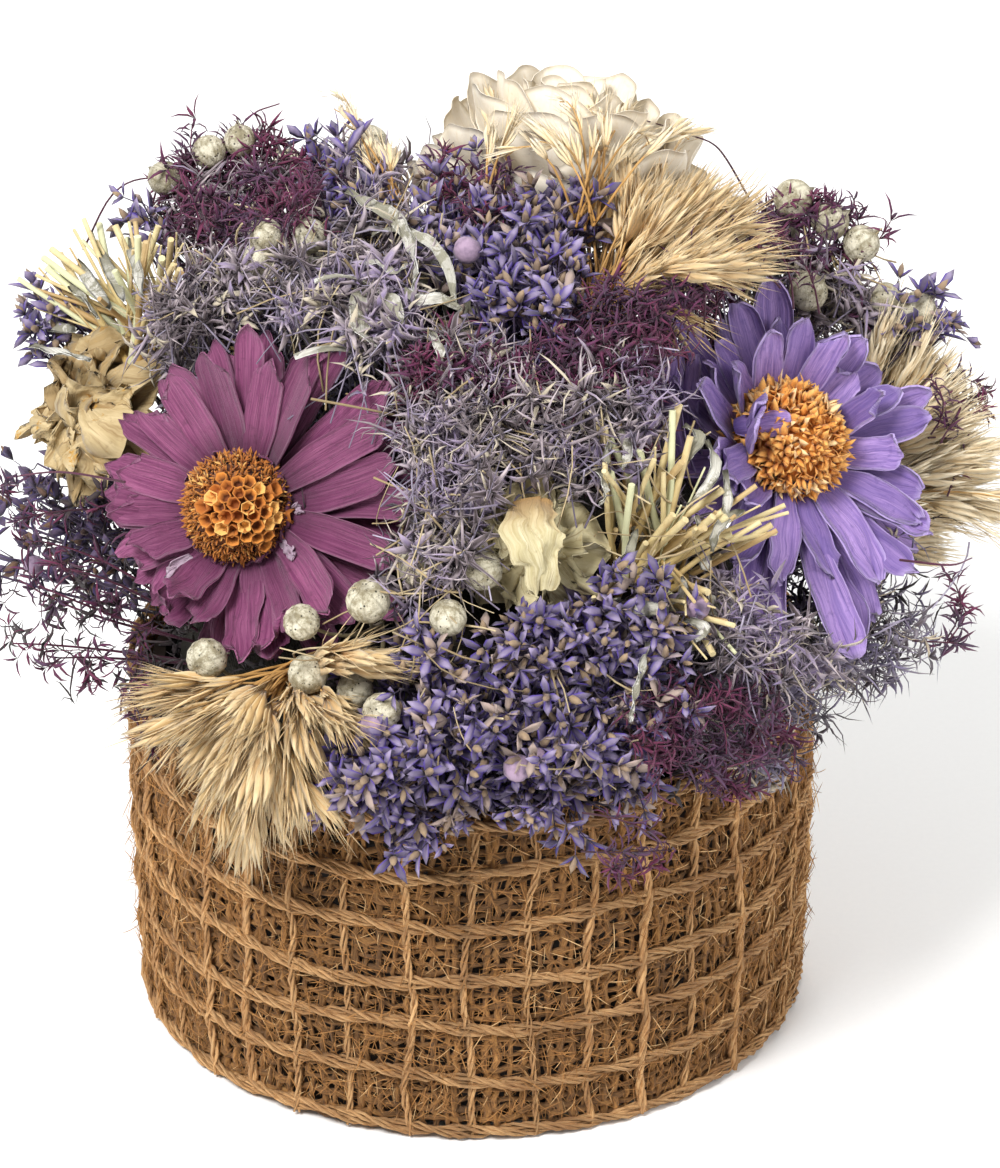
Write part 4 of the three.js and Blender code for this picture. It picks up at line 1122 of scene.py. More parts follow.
def sheaths(bunch, shells, count, length, width):
    """Torn papery leaf sheaths between the straws."""
    rng = bunch.rng
    for across, upward, _ in bunch.scatter(count, 1.1):
        root = bunch.spot(across * 0.8, upward * 0.8, bunch.reach - rng.uniform(8, 20) * MM)
        run = (bunch.spot(across, upward, bunch.reach) - root).normalized()
        run = (run + anywhere(rng) * 0.5).normalized()
        ribbon(shells, rng, root, run, length * rng.uniform(0.6, 1.2), width * rng.uniform(0.6, 1.2))


def strip_row(point, way, across, half, ripple, phase):
    """Five points across a strip that runs along way, rippled by so many mm."""
    rise = way.cross(across) * ripple * MM
    return [tuple(point + across * half * u + rise * math.sin(phase + 2 * u)) for u in (-1, -0.5, 0, 0.5, 1)]


def ribbon(shells, rng, root, run, length, width, curl=1.6):
    """A thin strip that leaves its root along run, and curls and twists."""
    side, up = square_to(run)
    turn = rng.uniform(0, math.tau)
    bend = side * math.cos(turn) + up * math.sin(turn)
    flat = run.cross(bend)
    twist = rng.uniform(-1.5, 1.5)
    rows = []
    point = root.copy()
    steps = 12
    for k in range(steps + 1):
        t = k / steps
        angle = curl * t * t
        way = run * math.cos(angle) + bend * math.sin(angle)
        point = point + way * length / steps
        across = flat * math.cos(twist * t) + way.cross(flat) * math.sin(twist * t)
        half = width / 2 * math.sin(math.pi * min(0.12 + 0.8 * t, 0.97)) ** 0.7
        rows.append(strip_row(point, way, across, half, 0.3, 9 * t))
    shells.add(rows, 0.3 * MM, rng.random())


def laid_ribbon(shells, rng, pixels, width, arch=3.0):
    """A strip laid over the dome along pixels of the photograph, arched off it and lightly twisted."""
    last = len(pixels) - 1
    path = smoothed([on_dome(*pixel, (1 + arch * math.sin(math.pi * k / last)) * MM)
                     for k, pixel in enumerate(pixels)], 4)
    last = len(path) - 1
    twist, start = rng.uniform(-1.8, 1.8), rng.uniform(-0.5, 0.5)
    rows = []
    for k, point in enumerate(path):
        t = k / last
        run = (path[min(k + 1, last)] - path[max(k - 1, 0)]).normalized()
        flat = run.cross((point - CENTRE).normalized()).normalized()
        across = flat * math.cos(start + twist * t) + run.cross(flat) * math.sin(start + twist * t)
        half = width * 0.4 * MM * math.sin(math.pi * min(0.1 + 0.85 * t, 0.96)) ** 0.6
        rows.append(strip_row(point, run, across, half, 0.35, 1.7 * k))
    shells.add(rows, 0.25 * MM, rng.random() * 0.8)


# ---- What lies over the bunches, where the photograph shows it ---------------------------------------
def patch(rng, spot, count, low=-3.0, high=1.5):
    """Points spread over an oval of the photograph: spot is its middle and half sizes, in pixels."""
    across, down, wide, high_side = spot
    for k in range(count):
        out = math.sqrt((k + 0.5) / count)
        turn = k * GOLDEN + rng.uniform(-0.3, 0.3)
        point = on_dome(across + wide * out * math.cos(turn), down + high_side * out * math.sin(turn),
                        rng.uniform(low, high) * MM)
        if free(point, 2):
            yield point


def over_florets(growth, rng, spot, count, each=5):
    """Stems that end in a loose head of florets."""
    for tip in patch(rng, spot, count):
        out = (tip - CENTRE).normalized()
        run = (out + anywhere(rng) * 0.5).normalized()
        root = tip - out * 14 * MM - run * 4 * MM
        growth.stem(arc(root, tip, anywhere(rng) * 1.5 * MM, 4), 0.3 * MM, 0.2 * MM)
        for k in range(each):
            base = root.lerp(tip, 0.55 + 0.45 * k / (each - 1))
            end, way = side_twig(growth, rng, base, run, rng.uniform(1.0, 3.8) * MM, 0.13 * MM)
            if end is not None:
                growth.head(end, (way + out * 0.3).normalized(), rng.uniform(0.75, 1.25),
                            rng.choices(range(5), FLORET_MIX)[0])


def over_sprays(growth, rng, spot, count, each=6, length=(7, 15), lie=1.0, size=(0.65, 1.6), deep=0.0):
    """Wiry sprays that lie across each other in every direction, with needles all along."""
    for middle in patch(rng, spot, count, -3.0 - deep, 1.5 - deep):
        out = (middle - CENTRE).normalized()
        way = anywhere(rng)
        way = (way - out * way.dot(out) * lie + out * 0.25).normalized()
        long = rng.uniform(*length) * MM
        root = middle - way * long * 0.6 - out * 3 * MM
        tip = outside_rim(middle + way * long * 0.4)
        if not free(tip, 2):
            continue
        steps = 5
        path = arc(root, tip, out * 2 * MM + anywhere(rng) * 1.2 * MM, steps + 1)
        growth.stem(path, 0.2 * MM, 0.11 * MM)
        for k in range(each):
            t = (0.25 + 0.75 * k / (each - 1)) * steps
            index = min(int(t), steps - 1)
            base = path[index].lerp(path[index + 1], t - index)
            growth.head(base, (way + anywhere(rng) * 0.75).normalized(), rng.uniform(*size), rng.randrange(3))


def over_straws(growth, rng, spot, count, length, gauge, lean=0.9):
    """Loose cut straws or thin stalks that stick out at all angles."""
    for middle in patch(rng, spot, count):
        out = (middle - CENTRE).normalized()
        way = (out + anywhere(rng) * lean).normalized()
        long = rng.uniform(*length) * MM
        tip = middle + way * long * 0.35
        if free(tip, -1):
            thick = rng.uniform(*gauge) * MM
            path = arc(middle - way * long * 0.65, tip, anywhere(rng) * long * 0.13, 5)
            growth.stem(path, thick, thick * 0.8)


# ---- Blooms ------------------------------------------------------------------------------------------
def grid_of(rows, columns, place):
    """A grid of points: place gives one from u, -1 to 1 across a petal, and v, 0 to 1 along it."""
    return [[tuple(place(2 * i / (columns - 1) - 1, j / (rows - 1))) for i in range(columns)]
            for j in range(rows)]


def strap(bloom, turn, long, lean, wide, rng, base, curl=0.2, tip="blunt", fold=0.75, roll=0.0, crush=0.15):
    """One daisy petal as a grid of points. base is the radius and height of its root in mm; lean and
    curl are radians off the flower's plane; fold is the height of its lengthwise crease in mm."""
    rows, columns = 15, 9
    grid = []
    radius, height = base
    crease_at = rng.uniform(-0.45, 0.45)
    apex, cut = rng.uniform(-0.7, 0.7), rng.uniform(1.5, 4.4)
    sway = rng.uniform(-0.2, 0.2)
    seed = Vector((rng.uniform(0, 90), rng.uniform(0, 90), 0))
    tangent = -bloom.right * math.sin(turn) + bloom.up * math.cos(turn)
    out = bloom.right * math.cos(turn) + bloom.up * math.sin(turn)
    for j in range(rows):
        v = j / (rows - 1)
        slope = lean + curl * v
        if j:
            radius += math.cos(slope) * long / (rows - 1)
            height += math.sin(slope) * long / (rows - 1)
        girth = 0.5 + 0.5 * min(v / 0.4, 1) ** 0.8
        if tip == "blunt" and v > 0.86:
            girth *= 1 - 0.35 * ((v - 0.86) / 0.14) ** 1.4
        if tip == "round" and v > 0.74:
            girth *= math.sqrt(max(1 - ((v - 0.74) / 0.27) ** 2, 0.06))
        normal = bloom.looks * math.cos(slope) - out * math.sin(slope)
        middle = bloom.at(turn, radius * MM, height * MM) + tangent * sway * long * v * v * 0.5 * MM
        row = []
        for i in range(columns):
            u = 2 * i / (columns - 1) - 1
            crease = fold * (abs(u - crease_at) - 0.6) * girth + roll * u * v
            if tip == "round":
                crease = fold * (1.5 * u * u - 0.5) * girth + roll * u * v
            lump = noise.noise_vector(seed + Vector((u * 1.5, v * 4, 0))) * crush * (0.4 + v)
            back = cut * abs(u - apex) * v ** 8 if tip == "blunt" else 0
            run = out * math.cos(slope) + bloom.looks * math.sin(slope)
            off = tangent * u * wide / 2 * girth + normal * crease + lump - run * back
            row.append(tuple(middle + off * MM))
        grid.append(row)
    return grid


def make_magenta_petals():
    """Three rings of straps: broad and straight above, shorter and crumpled below."""
    bloom, rng, shells = BLOOM["magenta_daisy"], random.Random(21), Shells()
    rings = ((17, 22.0, 0.30, -1.2), (18, 24.5, 0.19, -2.6), (16, 25.5, 0.08, -4.4))
    for layer, (count, long, lean, sink) in enumerate(rings):
        for k in range(count):
            turn = math.tau * (k + 0.5 * layer) / count + rng.uniform(-0.09, 0.09)
            above, below = max(math.sin(turn), 0), max(-math.sin(turn), 0)
            stretch = 1.03 + 0.23 * math.cos(turn) - 0.03 * above - 0.2 * below
            shells.add(strap(
                bloom, turn, long * stretch * rng.uniform(0.92, 1.06),
                lean + rng.uniform(-0.07, 0.09) + 0.12 * below, rng.uniform(5.4, 7.0), rng,
                (6.5, sink - 0.8 * (k % 2)),
                curl=rng.uniform(-0.15, 0.2) + below * rng.choice((-0.7, 0.5, 0.9)),
                fold=rng.uniform(0.4, 1.1), roll=rng.uniform(-0.9, 0.9), crush=0.15 + 0.9 * below), 0.5 * MM,
                min(rng.random() * 0.8 + 0.35 * below, 1))
    for turn, out in ((-0.35, 9), (0.15, 9), (-2.2, 12), (3.35, 17), (-1.1, 17), (-0.8, 19)):
        # pale torn bits
        turn += rng.uniform(-0.1, 0.1)
        shells.add(strap(bloom, turn, rng.uniform(4, 7), 0.35, rng.uniform(1.4, 2.6), rng, (out, -0.2),
                         curl=0.5, crush=0.9), 0.3 * MM, 1.2)
    for k in range(20):
        # the folded roots that show beside the disc, all in the deep colour: painted shade round the disc
        turn = math.tau * k / 20 + rng.uniform(-0.1, 0.1)
        shells.add(strap(bloom, turn, rng.uniform(4, 6), 0.9, 3.6, rng, (7.6, -2.5), curl=0.5, crush=0.5),
                   0.4 * MM, 1.0)
    return shells.piece("magenta_daisy_petals_dressed", "magenta")


def upright(bloom, rng, right, up, long, wide):
    """A petal that stands on edge and bows outwards, as a grid of points. Sizes are in mm."""
    start = bloom.heart + (bloom.right * right + bloom.up * up - bloom.looks * 3) * MM
    along = bloom.up + bloom.looks * rng.uniform(0.2, 0.5) + bloom.right * rng.uniform(-0.15, 0.25)
    along.normalize()
    face = (bloom.right + bloom.looks * rng.uniform(-0.5, 0.2)).normalized()
    across = along.cross(face).normalized()

    def place(u, v):
        girth = 0.55 + 0.45 * min(v / 0.5, 1)
        if v > 0.74:
            girth *= math.sqrt(max(1 - ((v - 0.74) / 0.27) ** 2, 0.06))
        bow = 1.6 * math.sin(math.pi * v) + 1.1 * (1 - u * u) * girth
        return start + (along * long * v + across * wide / 2 * girth * u - face * bow) * MM

    return grid_of(13, 9, place)


def make_violet_petals():
    """Three rings of spoons: short and upright at the left, long and hanging at the bottom."""
    bloom, rng, shells = BLOOM["violet_daisy"], random.Random(33), Shells()
    rings = ((15, 16.5, 0.75, -0.8), (17, 21.5, 0.46, -2.4), (16, 24.0, 0.2, -4.4))
    for layer, (count, long, lean, sink) in enumerate(rings):
        for k in range(count):
            turn = math.tau * (k + 0.5 * layer) / count + rng.uniform(-0.12, 0.12)
            down, left = max(-math.sin(turn), 0), max(-math.cos(turn), 0)
            stretch = (1 + 0.5 * down ** 2) * rng.uniform(0.72, 1.08)
            stretch *= 1 - 0.08 * max(math.cos(turn), 0)
            tilt = lean * (1 - 0.75 * down) + 0.25 * left + rng.uniform(-0.12, 0.14)
            shells.add(strap(
                bloom, turn, long * stretch, tilt, rng.uniform(4.8, 6.8), rng, (6.8, sink - 0.8 * (k % 2)),
                curl=rng.uniform(-0.35, 0.5) - 0.35 * down, tip=rng.choice(("round", "round", "blunt")),
                fold=rng.uniform(0.2, 1.0), roll=rng.uniform(-1.6, 1.6), crush=0.4 + 0.5 * down), 1.0 * MM,
                rng.random())
    # one leans in over the disc
    shells.add(strap(bloom, math.radians(158), 9.5, 2.35, 5, rng, (12, 4.5), curl=0.5, tip="round", fold=1.2),
               0.8 * MM, 0)
    # the petals on edge at the left: how far right of and above the heart they start, and how long
    edgewise = ((-21, 1, 17), (-18, -3, 18), (-15.5, 3, 17), (-22.5, 6, 13), (-13, 8, 16), (-17, 10, 12))
    for right, up, long in edgewise:
        shells.add(upright(bloom, rng, right, up, long, rng.uniform(4.5, 6)), 0.9 * MM, rng.random() * 0.6)
    return shells.piece("violet_daisy_petals_dressed", "violet")


def make_disc(name, node_bloom, finish, count, wide, tall, raised, kinds):
    """A domed disc: a smooth body, covered in small dry florets set in an even spiral.
    kinds gives the moulds for a place on it, and how large they are there."""
    bloom, rng, growth = BLOOM[node_bloom], random.Random(count), Growth()
    # the body takes the root colour; for the ochre disc it is near-black, painted shade between the florets
    growth.head(bloom.heart + bloom.looks * (raised - 4.5) * MM, bloom.looks, wide / 9, 3)
    for k in range(count):
        lift = math.asin(1 - 1.37 * (k + 0.5) / count)
        turn = k * GOLDEN
        across, upward = math.cos(turn) * math.cos(lift), math.sin(turn) * math.cos(lift)
        for pick, size, loose in kinds(rng, across, upward, lift):
            base = bloom.at(turn, wide * math.cos(lift) * MM, (raised + tall * math.sin(lift) - 1.2) * MM)
            aim = bloom.at(turn, math.cos(lift) / wide, math.sin(lift) / tall) - bloom.heart
            aim = (aim.normalized() + anywhere(rng) * loose).normalized()
            growth.head(base + anywhere(rng) * loose * MM, aim, size * rng.uniform(0.88, 1.12), pick)
    return growth.piece(name, "disc", finish, finish)


def magenta_kinds(rng, across, upward, lift):
    """Open tubes at the right of the middle; small fuzzy tips over the rest."""
    if math.hypot(across - 0.35, upward) < 0.62 + rng.uniform(-0.08, 0.08) and lift > 0:
        return [(0, 1.2, 0.1)]
    return [(1, 1.05, 0.35)] * 3


def violet_kinds(rng, across, upward, lift):
    """Ragged papery shreds, taller at the upper left."""
    return [(2, 0.85 + 0.4 * max(upward - across, 0), 0.4)]


def make_ivory_bloom():
    """A full bloom: whorls of thin cupped petals round each other, each with a rounded ruffled lip."""
    bloom, rng, shells = BLOOM["ivory_bloom"], random.Random(44), Shells()
    # each whorl: petals, then the radius and height in mm that its lip reaches
    whorls = [(3, 4.5, 15), (5, 9, 15), (6, 14, 13.5), (8, 18.5, 10.5), (9, 22, 6.5), (10, 24.5, 1.5),
              (10, 25.5, -4)]
    for layer, (count, lip_radius, lip_height) in enumerate(whorls):
        for k in range(count):
            middle = math.tau * (k + 0.37 * layer) / count + rng.uniform(-0.15, 0.15)
            half = math.pi / count * rng.uniform(1.15, 1.4)
            wide, tall = lip_radius * rng.uniform(0.9, 1.06), lip_height + rng.uniform(-1.5, 1.8)
            phase = rng.uniform(0, math.tau)

            def place(u, v):
                flare = max(v - 0.7, 0) / 0.3
                radius = 2 * (1 - v) ** 2 + 2 * v * (1 - v) * wide * 1.04 + v * v * wide
                height = -10 * (1 - v) ** 2 + 2 * v * (1 - v) * (tall - 7) + v * v * tall
                height += flare * 0.5 * math.sin(5 * u + 2 * phase) - (1.4 * u * u + 3.2 * u ** 4) * v
                ruffle = 0.9 + 0.8 * math.sin(3.2 * u + phase) + 0.3 * math.sin(9 * u)
                radius += flare * ruffle - 0.7 * u * u * v
                return bloom.at(middle + u * half * (0.65 + 0.35 * v), radius * MM, height * MM)

            shells.add(grid_of(15, 17, place), 0.9 * MM, rng.random() * 0.6, taper=0.85)
    return shells.piece("ivory_bloom_dressed", "ivory")


def make_crumpled(name, node_bloom, finish, size, whorls, seed, rumple):
    """A dry flower of broad papery petals, creased and folded by smooth noise, with ragged edges."""
    bloom, rng, shells = BLOOM[node_bloom], random.Random(seed), Shells()
    for layer, (count, open_, long) in enumerate(whorls):
        for k in range(count):
            middle = math.tau * (k + 0.5 * layer) / count + rng.uniform(-0.4, 0.4)
            opening = open_ + rng.uniform(-0.25, 0.25)
            half = math.pi / count * 1.35
            start = Vector((rng.uniform(0, 50), rng.uniform(0, 50), 0))

            def place(u, v):
                crumple = noise.noise_vector(start + Vector((u * 1.2, v * 1.5, layer))) * 0.34
                crumple += noise.noise_vector(start + Vector((u * 3.4, v * 2.6, 9))) * 0.17
                crumple += noise.noise_vector(start + Vector((u * 8, v * 6, 5))) * 0.085
                ragged = 0.16 * noise.noise(start + Vector((u * 5, 0, 3)))
                ragged += 0.06 * noise.noise(start + Vector((u * 16, 2, 3)))
                out = long * (0.12 + 0.88 * v) * (1 - 0.2 * u * u + ragged * v)
                bend = opening * (0.45 + 0.7 * v)
                turn = middle + u * half * (0.5 + 0.5 * v)
                point = bloom.at(turn, out * math.sin(bend) * size * MM, out * math.cos(bend) * size * MM)
                return point + crumple * size * rumple * (0.2 + 0.8 * v) * MM

            shells.add(grid_of(19, 19, place), 0.4 * MM, rng.random())
    return shells.piece(name, finish)


def make_draped_petal():
    """The cream flower's one big petal, which hangs down over the florets like a tongue."""
    shells, rng = Shells(), random.Random(9)
    middles = [on_dome(across, down, beyond * MM) for across, down, beyond in (
        (530, 500, -1), (531, 512, 4), (534, 530, 6), (538, 550, 6), (541, 570, 4), (543, 592, 2))]
    halves = (3.2, 4.6, 4.6, 3.8, 2.6, 2.0)  # mm
    rows = []
    path = smoothed(middles, 4)
    for k, point in enumerate(path):
        t = k / 4
        low = min(int(t), 4)
        half = (halves[low] + (halves[low + 1] - halves[low]) * (t - low)) * MM
        half *= 1 + 0.45 * noise.noise(Vector((k * 0.3, 3, 1)))
        out = (point - CENTRE).normalized()
        run = (path[min(k + 1, len(path) - 1)] - path[max(k - 1, 0)]).normalized()
        side = run.cross(out).normalized()
        row = []
        for i in range(13):
            u = i / 6 - 1
            lump = noise.noise_vector(Vector((u * 1.4, t * 0.9, 4))) * 1.6
            lump += noise.noise_vector(Vector((u * 3, t * 1.6, 7))) * 0.6
            row.append(tuple(point + side * half * u - out * half * 0.35 * u * u + lump * MM))
        rows.append(row)
    shells.add(rows, 0.4 * MM, rng.random() * 0.3)
    return shells.piece("draped_petal", "cream")


def make_pods(name, places):
    """Round seed heads on stalks that fork from the middle of their bunch."""
    bunch, growth = Bunch(name), Growth()
    rng = bunch.rng
    turn, lift = BUNCHES[name][:2]
    fork = CENTRE + bunch.axis * (foam_at(lift) + 3 * MM)
    for turn_off, lift_off, reach in places:
        out = towards(turn + turn_off, lift + lift_off)
        base = CENTRE + out * (reach - 7.4) * MM
        aim = (out + anywhere(rng) * 0.35).normalized()
        growth.stem(arc(fork, base, anywhere(rng) * 2 * MM, 5), 0.45 * MM, 0.3 * MM)
        growth.head(base, aim, rng.uniform(0.9, 1.1), 0)
        growth.head(base + aim * 0.3 * MM, aim, 1.0, 1)
    return growth.piece(name + "_dressed", "pod", "stem_green", "pod", sides=5)


POD_PLACES = {
    "pods_front": [(3, -2, 87), (-7, -5, 87), (-6, -11, 83), (10, 4, 86), (2, -11, 79)],
    "pods_crown": [(-12, 4, 100), (-6, -2, 98), (8, 4, 97), (4, -5, 97)],
    "pods_right": [(2, 5, 106), (9, 1, 110), (-4, 1, 104), (8, -6, 106), (0, -5, 105)],
    "pods_far_left": [(-8, 2, 112), (5, 4, 110), (2, -4, 113)],
}


# ---- Stage -------------------------------------------------------------------------------------------
def aimed(thing, place, target):
    """Puts a camera or light at a place, so that it looks at a target."""
    thing.location = place
    thing.rotation_euler = (target - thing.location).to_track_quat("-Z", "Y").to_euler()
    return thing


def make_camera():
    """The photograph's view: 27.5 degrees above level, from far enough to be nearly parallel."""
    data = bpy.data.cameras.new("camera")
    data.lens, data.sensor_width, data.sensor_fit = CAMERA["lens"], CAMERA["sensor"], "AUTO"
    bpy.context.scene.camera = aimed(placed("camera", data), camera_place(), CAMERA["target"])


def make_stage():
    """A plain pale floor, soft light from the upper left and front, and an even pale sky."""
    floor = mesh_object("floor", [(-9, -9, 0), (9, -9, 0), (9, 9, 0), (-9, 9, 0)], [(0, 1, 2, 3)])
    material, tree, place, _ = new_finish("matt_white_board", Roughness=0.9)
    speck = add(tree, NOISE, {"Vector": place, "Scale": 900.0})
    surfaced(tree, coated(tree, "f7f7f6", ("fbfbfa", speck, 0, 1, 1)))
    floor.data.materials.append(material)
    lights = (("key", (-0.45, -0.65, 1.0), 18, 0.4), ("fill", (0.9, -0.5, 0.6), 5.5, 0.6),
              ("back", (0.15, 0.8, 0.9), 6, 0.5))
    for name, place, energy, size in lights:
        data = bpy.data.lights.new(name, "AREA")
        data.energy, data.size = energy, size
        aimed(placed(name, data), place, Vector((0, 0, 0.07)))
    world = bpy.data.worlds.new("sky")
    world.use_nodes = True
    sky = world.node_tree.nodes["Background"].inputs
    sky["Color"].default_value, sky["Strength"].default_value = linear("ffffff"), 0.42
    bpy.context.scene.world = world
    bpy.context.scene.view_settings.view_transform = "Standard"


# ---- Assembly ----------------------------------------------------------------------------------------
make_camera()
make_stage()

keep(make_hessian(), "hessian_sleeve")
keep(make_net(), "jute_net")
keep(make_fuzz("loose_jute_fibres", 8800, 0.2, 1.5, 5))
keep(make_fuzz("loose_hessian_fibres", 8800, -0.5, 0.5, 6))

keep(make_magenta_petals(), "magenta_daisy_petals")
keep(make_violet_petals(), "violet_daisy_petals")
keep(make_disc("magenta_daisy_disc_dressed", "magenta_daisy", "ochre", 205, 8.3, 7.8, 1.5, magenta_kinds),
     "magenta_daisy_disc")
keep(make_disc("violet_daisy_disc_dressed", "violet_daisy", "orange", 300, 8.6, 8.4, 1.5, violet_kinds),
     "violet_daisy_disc")
keep(make_ivory_bloom(), "ivory_bloom")
tan = make_crumpled("tan_bloom_dressed", "tan_bloom", "tan", 14.2,
                    ((4, 0.5, 0.75), (6, 1.0, 1.0), (6, 1.5, 1.05)), 51, 1.35)
keep(tan, "tan_bloom")
cream = make_crumpled("crumpled_petals", "cream_bloom", "cream", 11.5,
                      ((3, 0.4, 0.8), (5, 1.0, 1.0), (5, 1.6, 1.0)), 52, 1.4)
keep(join("cream_bloom_dressed", cream, make_draped_petal()), "cream_bloom")
for name, places in POD_PLACES.items():
    keep(make_pods(name, places), name)

# Each bunch's stems, heads on each, finish and spread.
FLORETS = {
    "florets_left": (40, 9, "floret", 1.12), "florets_front": (44, 9, "floret", 1.12),
    "florets_crown": (36, 8, "floret", 1.3), "florets_far_left": (22, 7, "floret_dark", 1.3),
    "florets_far_right": (24, 7, "floret_dark", 1.3), "florets_back": (34, 7, "floret_dark", 1.3),
}
for name, (stems, each, finish, wide) in FLORETS.items():
    growth = Growth()
    grow_florets(Bunch(name), growth, stems, each, wide)
    keep(growth.piece(name + "_dressed", "floret", "stem_dark", finish), name)

# the bunches under the loose sprays take the darker lilac, painted shade
SPRAYS = {"spray_left": "spray_painted_shade", "spray_middle": "spray_painted_shade", "spray_right": "spray_grey",
          "spray_low": "spray_grey"}
for name, finish in SPRAYS.items():
    growth = Growth()
    grow_twigs(Bunch(name), growth, 32, 8)
    keep(growth.piece(name + "_dressed", "spray", "stem_lilac", finish), name)

# Each bunch's stems and spread.
MOSS = {"moss_left": (7, 1.05), "moss_crown": (34, 1.25), "moss_middle": (24, 1.25), "moss_right": (26, 1.25),
        "moss_back": (40, 1.6)}
for name, (stems, wide) in MOSS.items():
    growth = Growth()
    grow_twigs(Bunch(name), growth, stems, 7, wide, 0.35)
    keep(growth.piece(name + "_dressed", "moss", "stem_wine", "moss"), name)

# Tufts of grass, where the photograph shows them: whether it takes the lighter grass finish, painted light,
# the pixel that it springs from and the mm beyond the outer form there, the same at its tips, how often it is
# grown, how far apart in mm its tips then are, husks on a stalk, its arch in mm, and the pixels of its tips.
TUFTS = {
    "grass_front_left": [
        (False, (300, 672), -12, -2, 3, 5, 5, 6, (
            (165, 690), (170, 720), (195, 745), (215, 770), (235, 800), (255, 815), (280, 820), (310, 780),
            (330, 745), (345, 710), (350, 680), (185, 700), (205, 730), (240, 760), (270, 780), (300, 760),
            (260, 730), (230, 710), (290, 730), (320, 715), (270, 840)))],
    "grass_top": [
        (False, (595, 318), -9, -1, 4, 4, 6, 5, (
            (545, 150), (565, 135), (590, 135), (620, 150), (640, 165), (655, 150), (670, 180), (690, 175),
            (700, 200), (722, 205), (712, 230), (690, 225), (668, 215), (650, 235), (700, 255), (735, 235),
            (640, 205), (625, 230), (675, 250), (655, 265), (715, 215), (685, 200), (742, 250), (725, 265),
            (700, 285), (670, 290))),
        (True, (584, 215), 1, 10, 1, 3, 4, 6, (
            (568, 116), (577, 98), (607, 92), (614, 118), (636, 136), (657, 132), (675, 122), (643, 116),
            (522, 150), (538, 138), (590, 120), (600, 140), (555, 150), (680, 150))),
        (True, (495, 215), -3, 8, 1, 2, 5, 3, ((482, 95), (492, 84), (500, 100), (488, 125), (505, 130))),
        (True, (400, 210), -3, 2, 1, 2, 5, 3, (
            (345, 112), (358, 130), (352, 98), (375, 140), (366, 118), (388, 150)))],
    "grass_right": [
        (False, None, 74, -10, 3, 4, 6, 3, (
            (925, 300), (950, 300), (975, 320), (990, 345), (1000, 370), (998, 400), (1000, 430), (990, 460),
            (985, 490), (965, 510), (945, 525), (950, 340), (925, 335), (905, 325), (960, 370), (975, 400),
            (960, 440), (950, 470), (970, 355), (900, 350)))],
}


def make_grass(name, stems, finish):
    """A bunch of grass: stalks over its whole cone, and its tufts. A tuft with no pixel springs from the
    bunch's axis, at its mm from CENTRE."""
    growth, painted_light_growth, bunch = Growth(), Growth(), Bunch(name)
    past = "ivory_bloom" if name == "grass_top" else None
    grow_grass(bunch, growth, stems, 8)
    for pale, root, deep, beyond, times, loose, each, rise, pixels in TUFTS.get(name, ()):
        root = on_dome(*root, deep * MM) if root else CENTRE + bunch.axis * deep * MM
        tips = on_domes(pixels, beyond)
        for _ in range(times):
            fan(painted_light_growth if pale else growth, bunch.rng, root, jittered(bunch.rng, tips, loose), each, rise * MM,
                size=(0.5, 0.9) if pale else (0.6, 1.25), past=past)
    made = growth.piece(name + "_dressed", "husk", "stem_gold", finish)
    # the pale tufts take the lighter copy of the grass, painted light
    if painted_light_growth.points:
        made = join(name + "_dressed", made, painted_light_growth.piece(name + "_pale", "husk", "stem_gold", "grass_painted_light"))
    return made


# Each bunch's stalks, besides its tufts, and its finish.
# grass_right stands in shade and takes the lighter copy of the grass, painted light
GRASS = {"grass_front_left": (0, "grass"), "grass_top": (0, "grass"), "grass_right": (30, "grass_painted_light"),
         "grass_crown": (44, "grass"), "grass_back": (44, "grass")}
for name, (stems, finish) in GRASS.items():
    keep(make_grass(name, stems, finish), name)

# Where the photograph shows straws: the pixel that they spring from, and where their cut ends are.
STRAW_FANS = {
    "straw_left": [((150, 350), ((15, 292), (28, 280), (45, 265), (60, 258), (70, 245), (85, 240), (95, 232),
                                 (108, 236), (120, 228), (132, 234), (145, 236), (160, 248), (175, 262),
                                 (90, 275), (55, 300), (120, 260), (185, 275), (40, 300), (75, 290),
                                 (105, 285),
                                 (112, 242), (126, 238), (138, 236), (150, 232), (160, 238), (170, 246),
                                 (178, 256), (142, 252)))],
    "straw_middle": [((640, 560), ((592, 425), (622, 430), (600, 470), (655, 440), (682, 422), (698, 452),
                                   (680, 480),
                                   (615, 455), (640, 470), (665, 500))),
                     ((650, 570), ((740, 490), (720, 500), (770, 518), (800, 515), (790, 525), (745, 530),
                                   (700, 545),
                                   (760, 508), (675, 505), (705, 500))),
                     ((655, 575), ((738, 635), (700, 600), (715, 668), (680, 610), (722, 592), (728, 628)))],
}
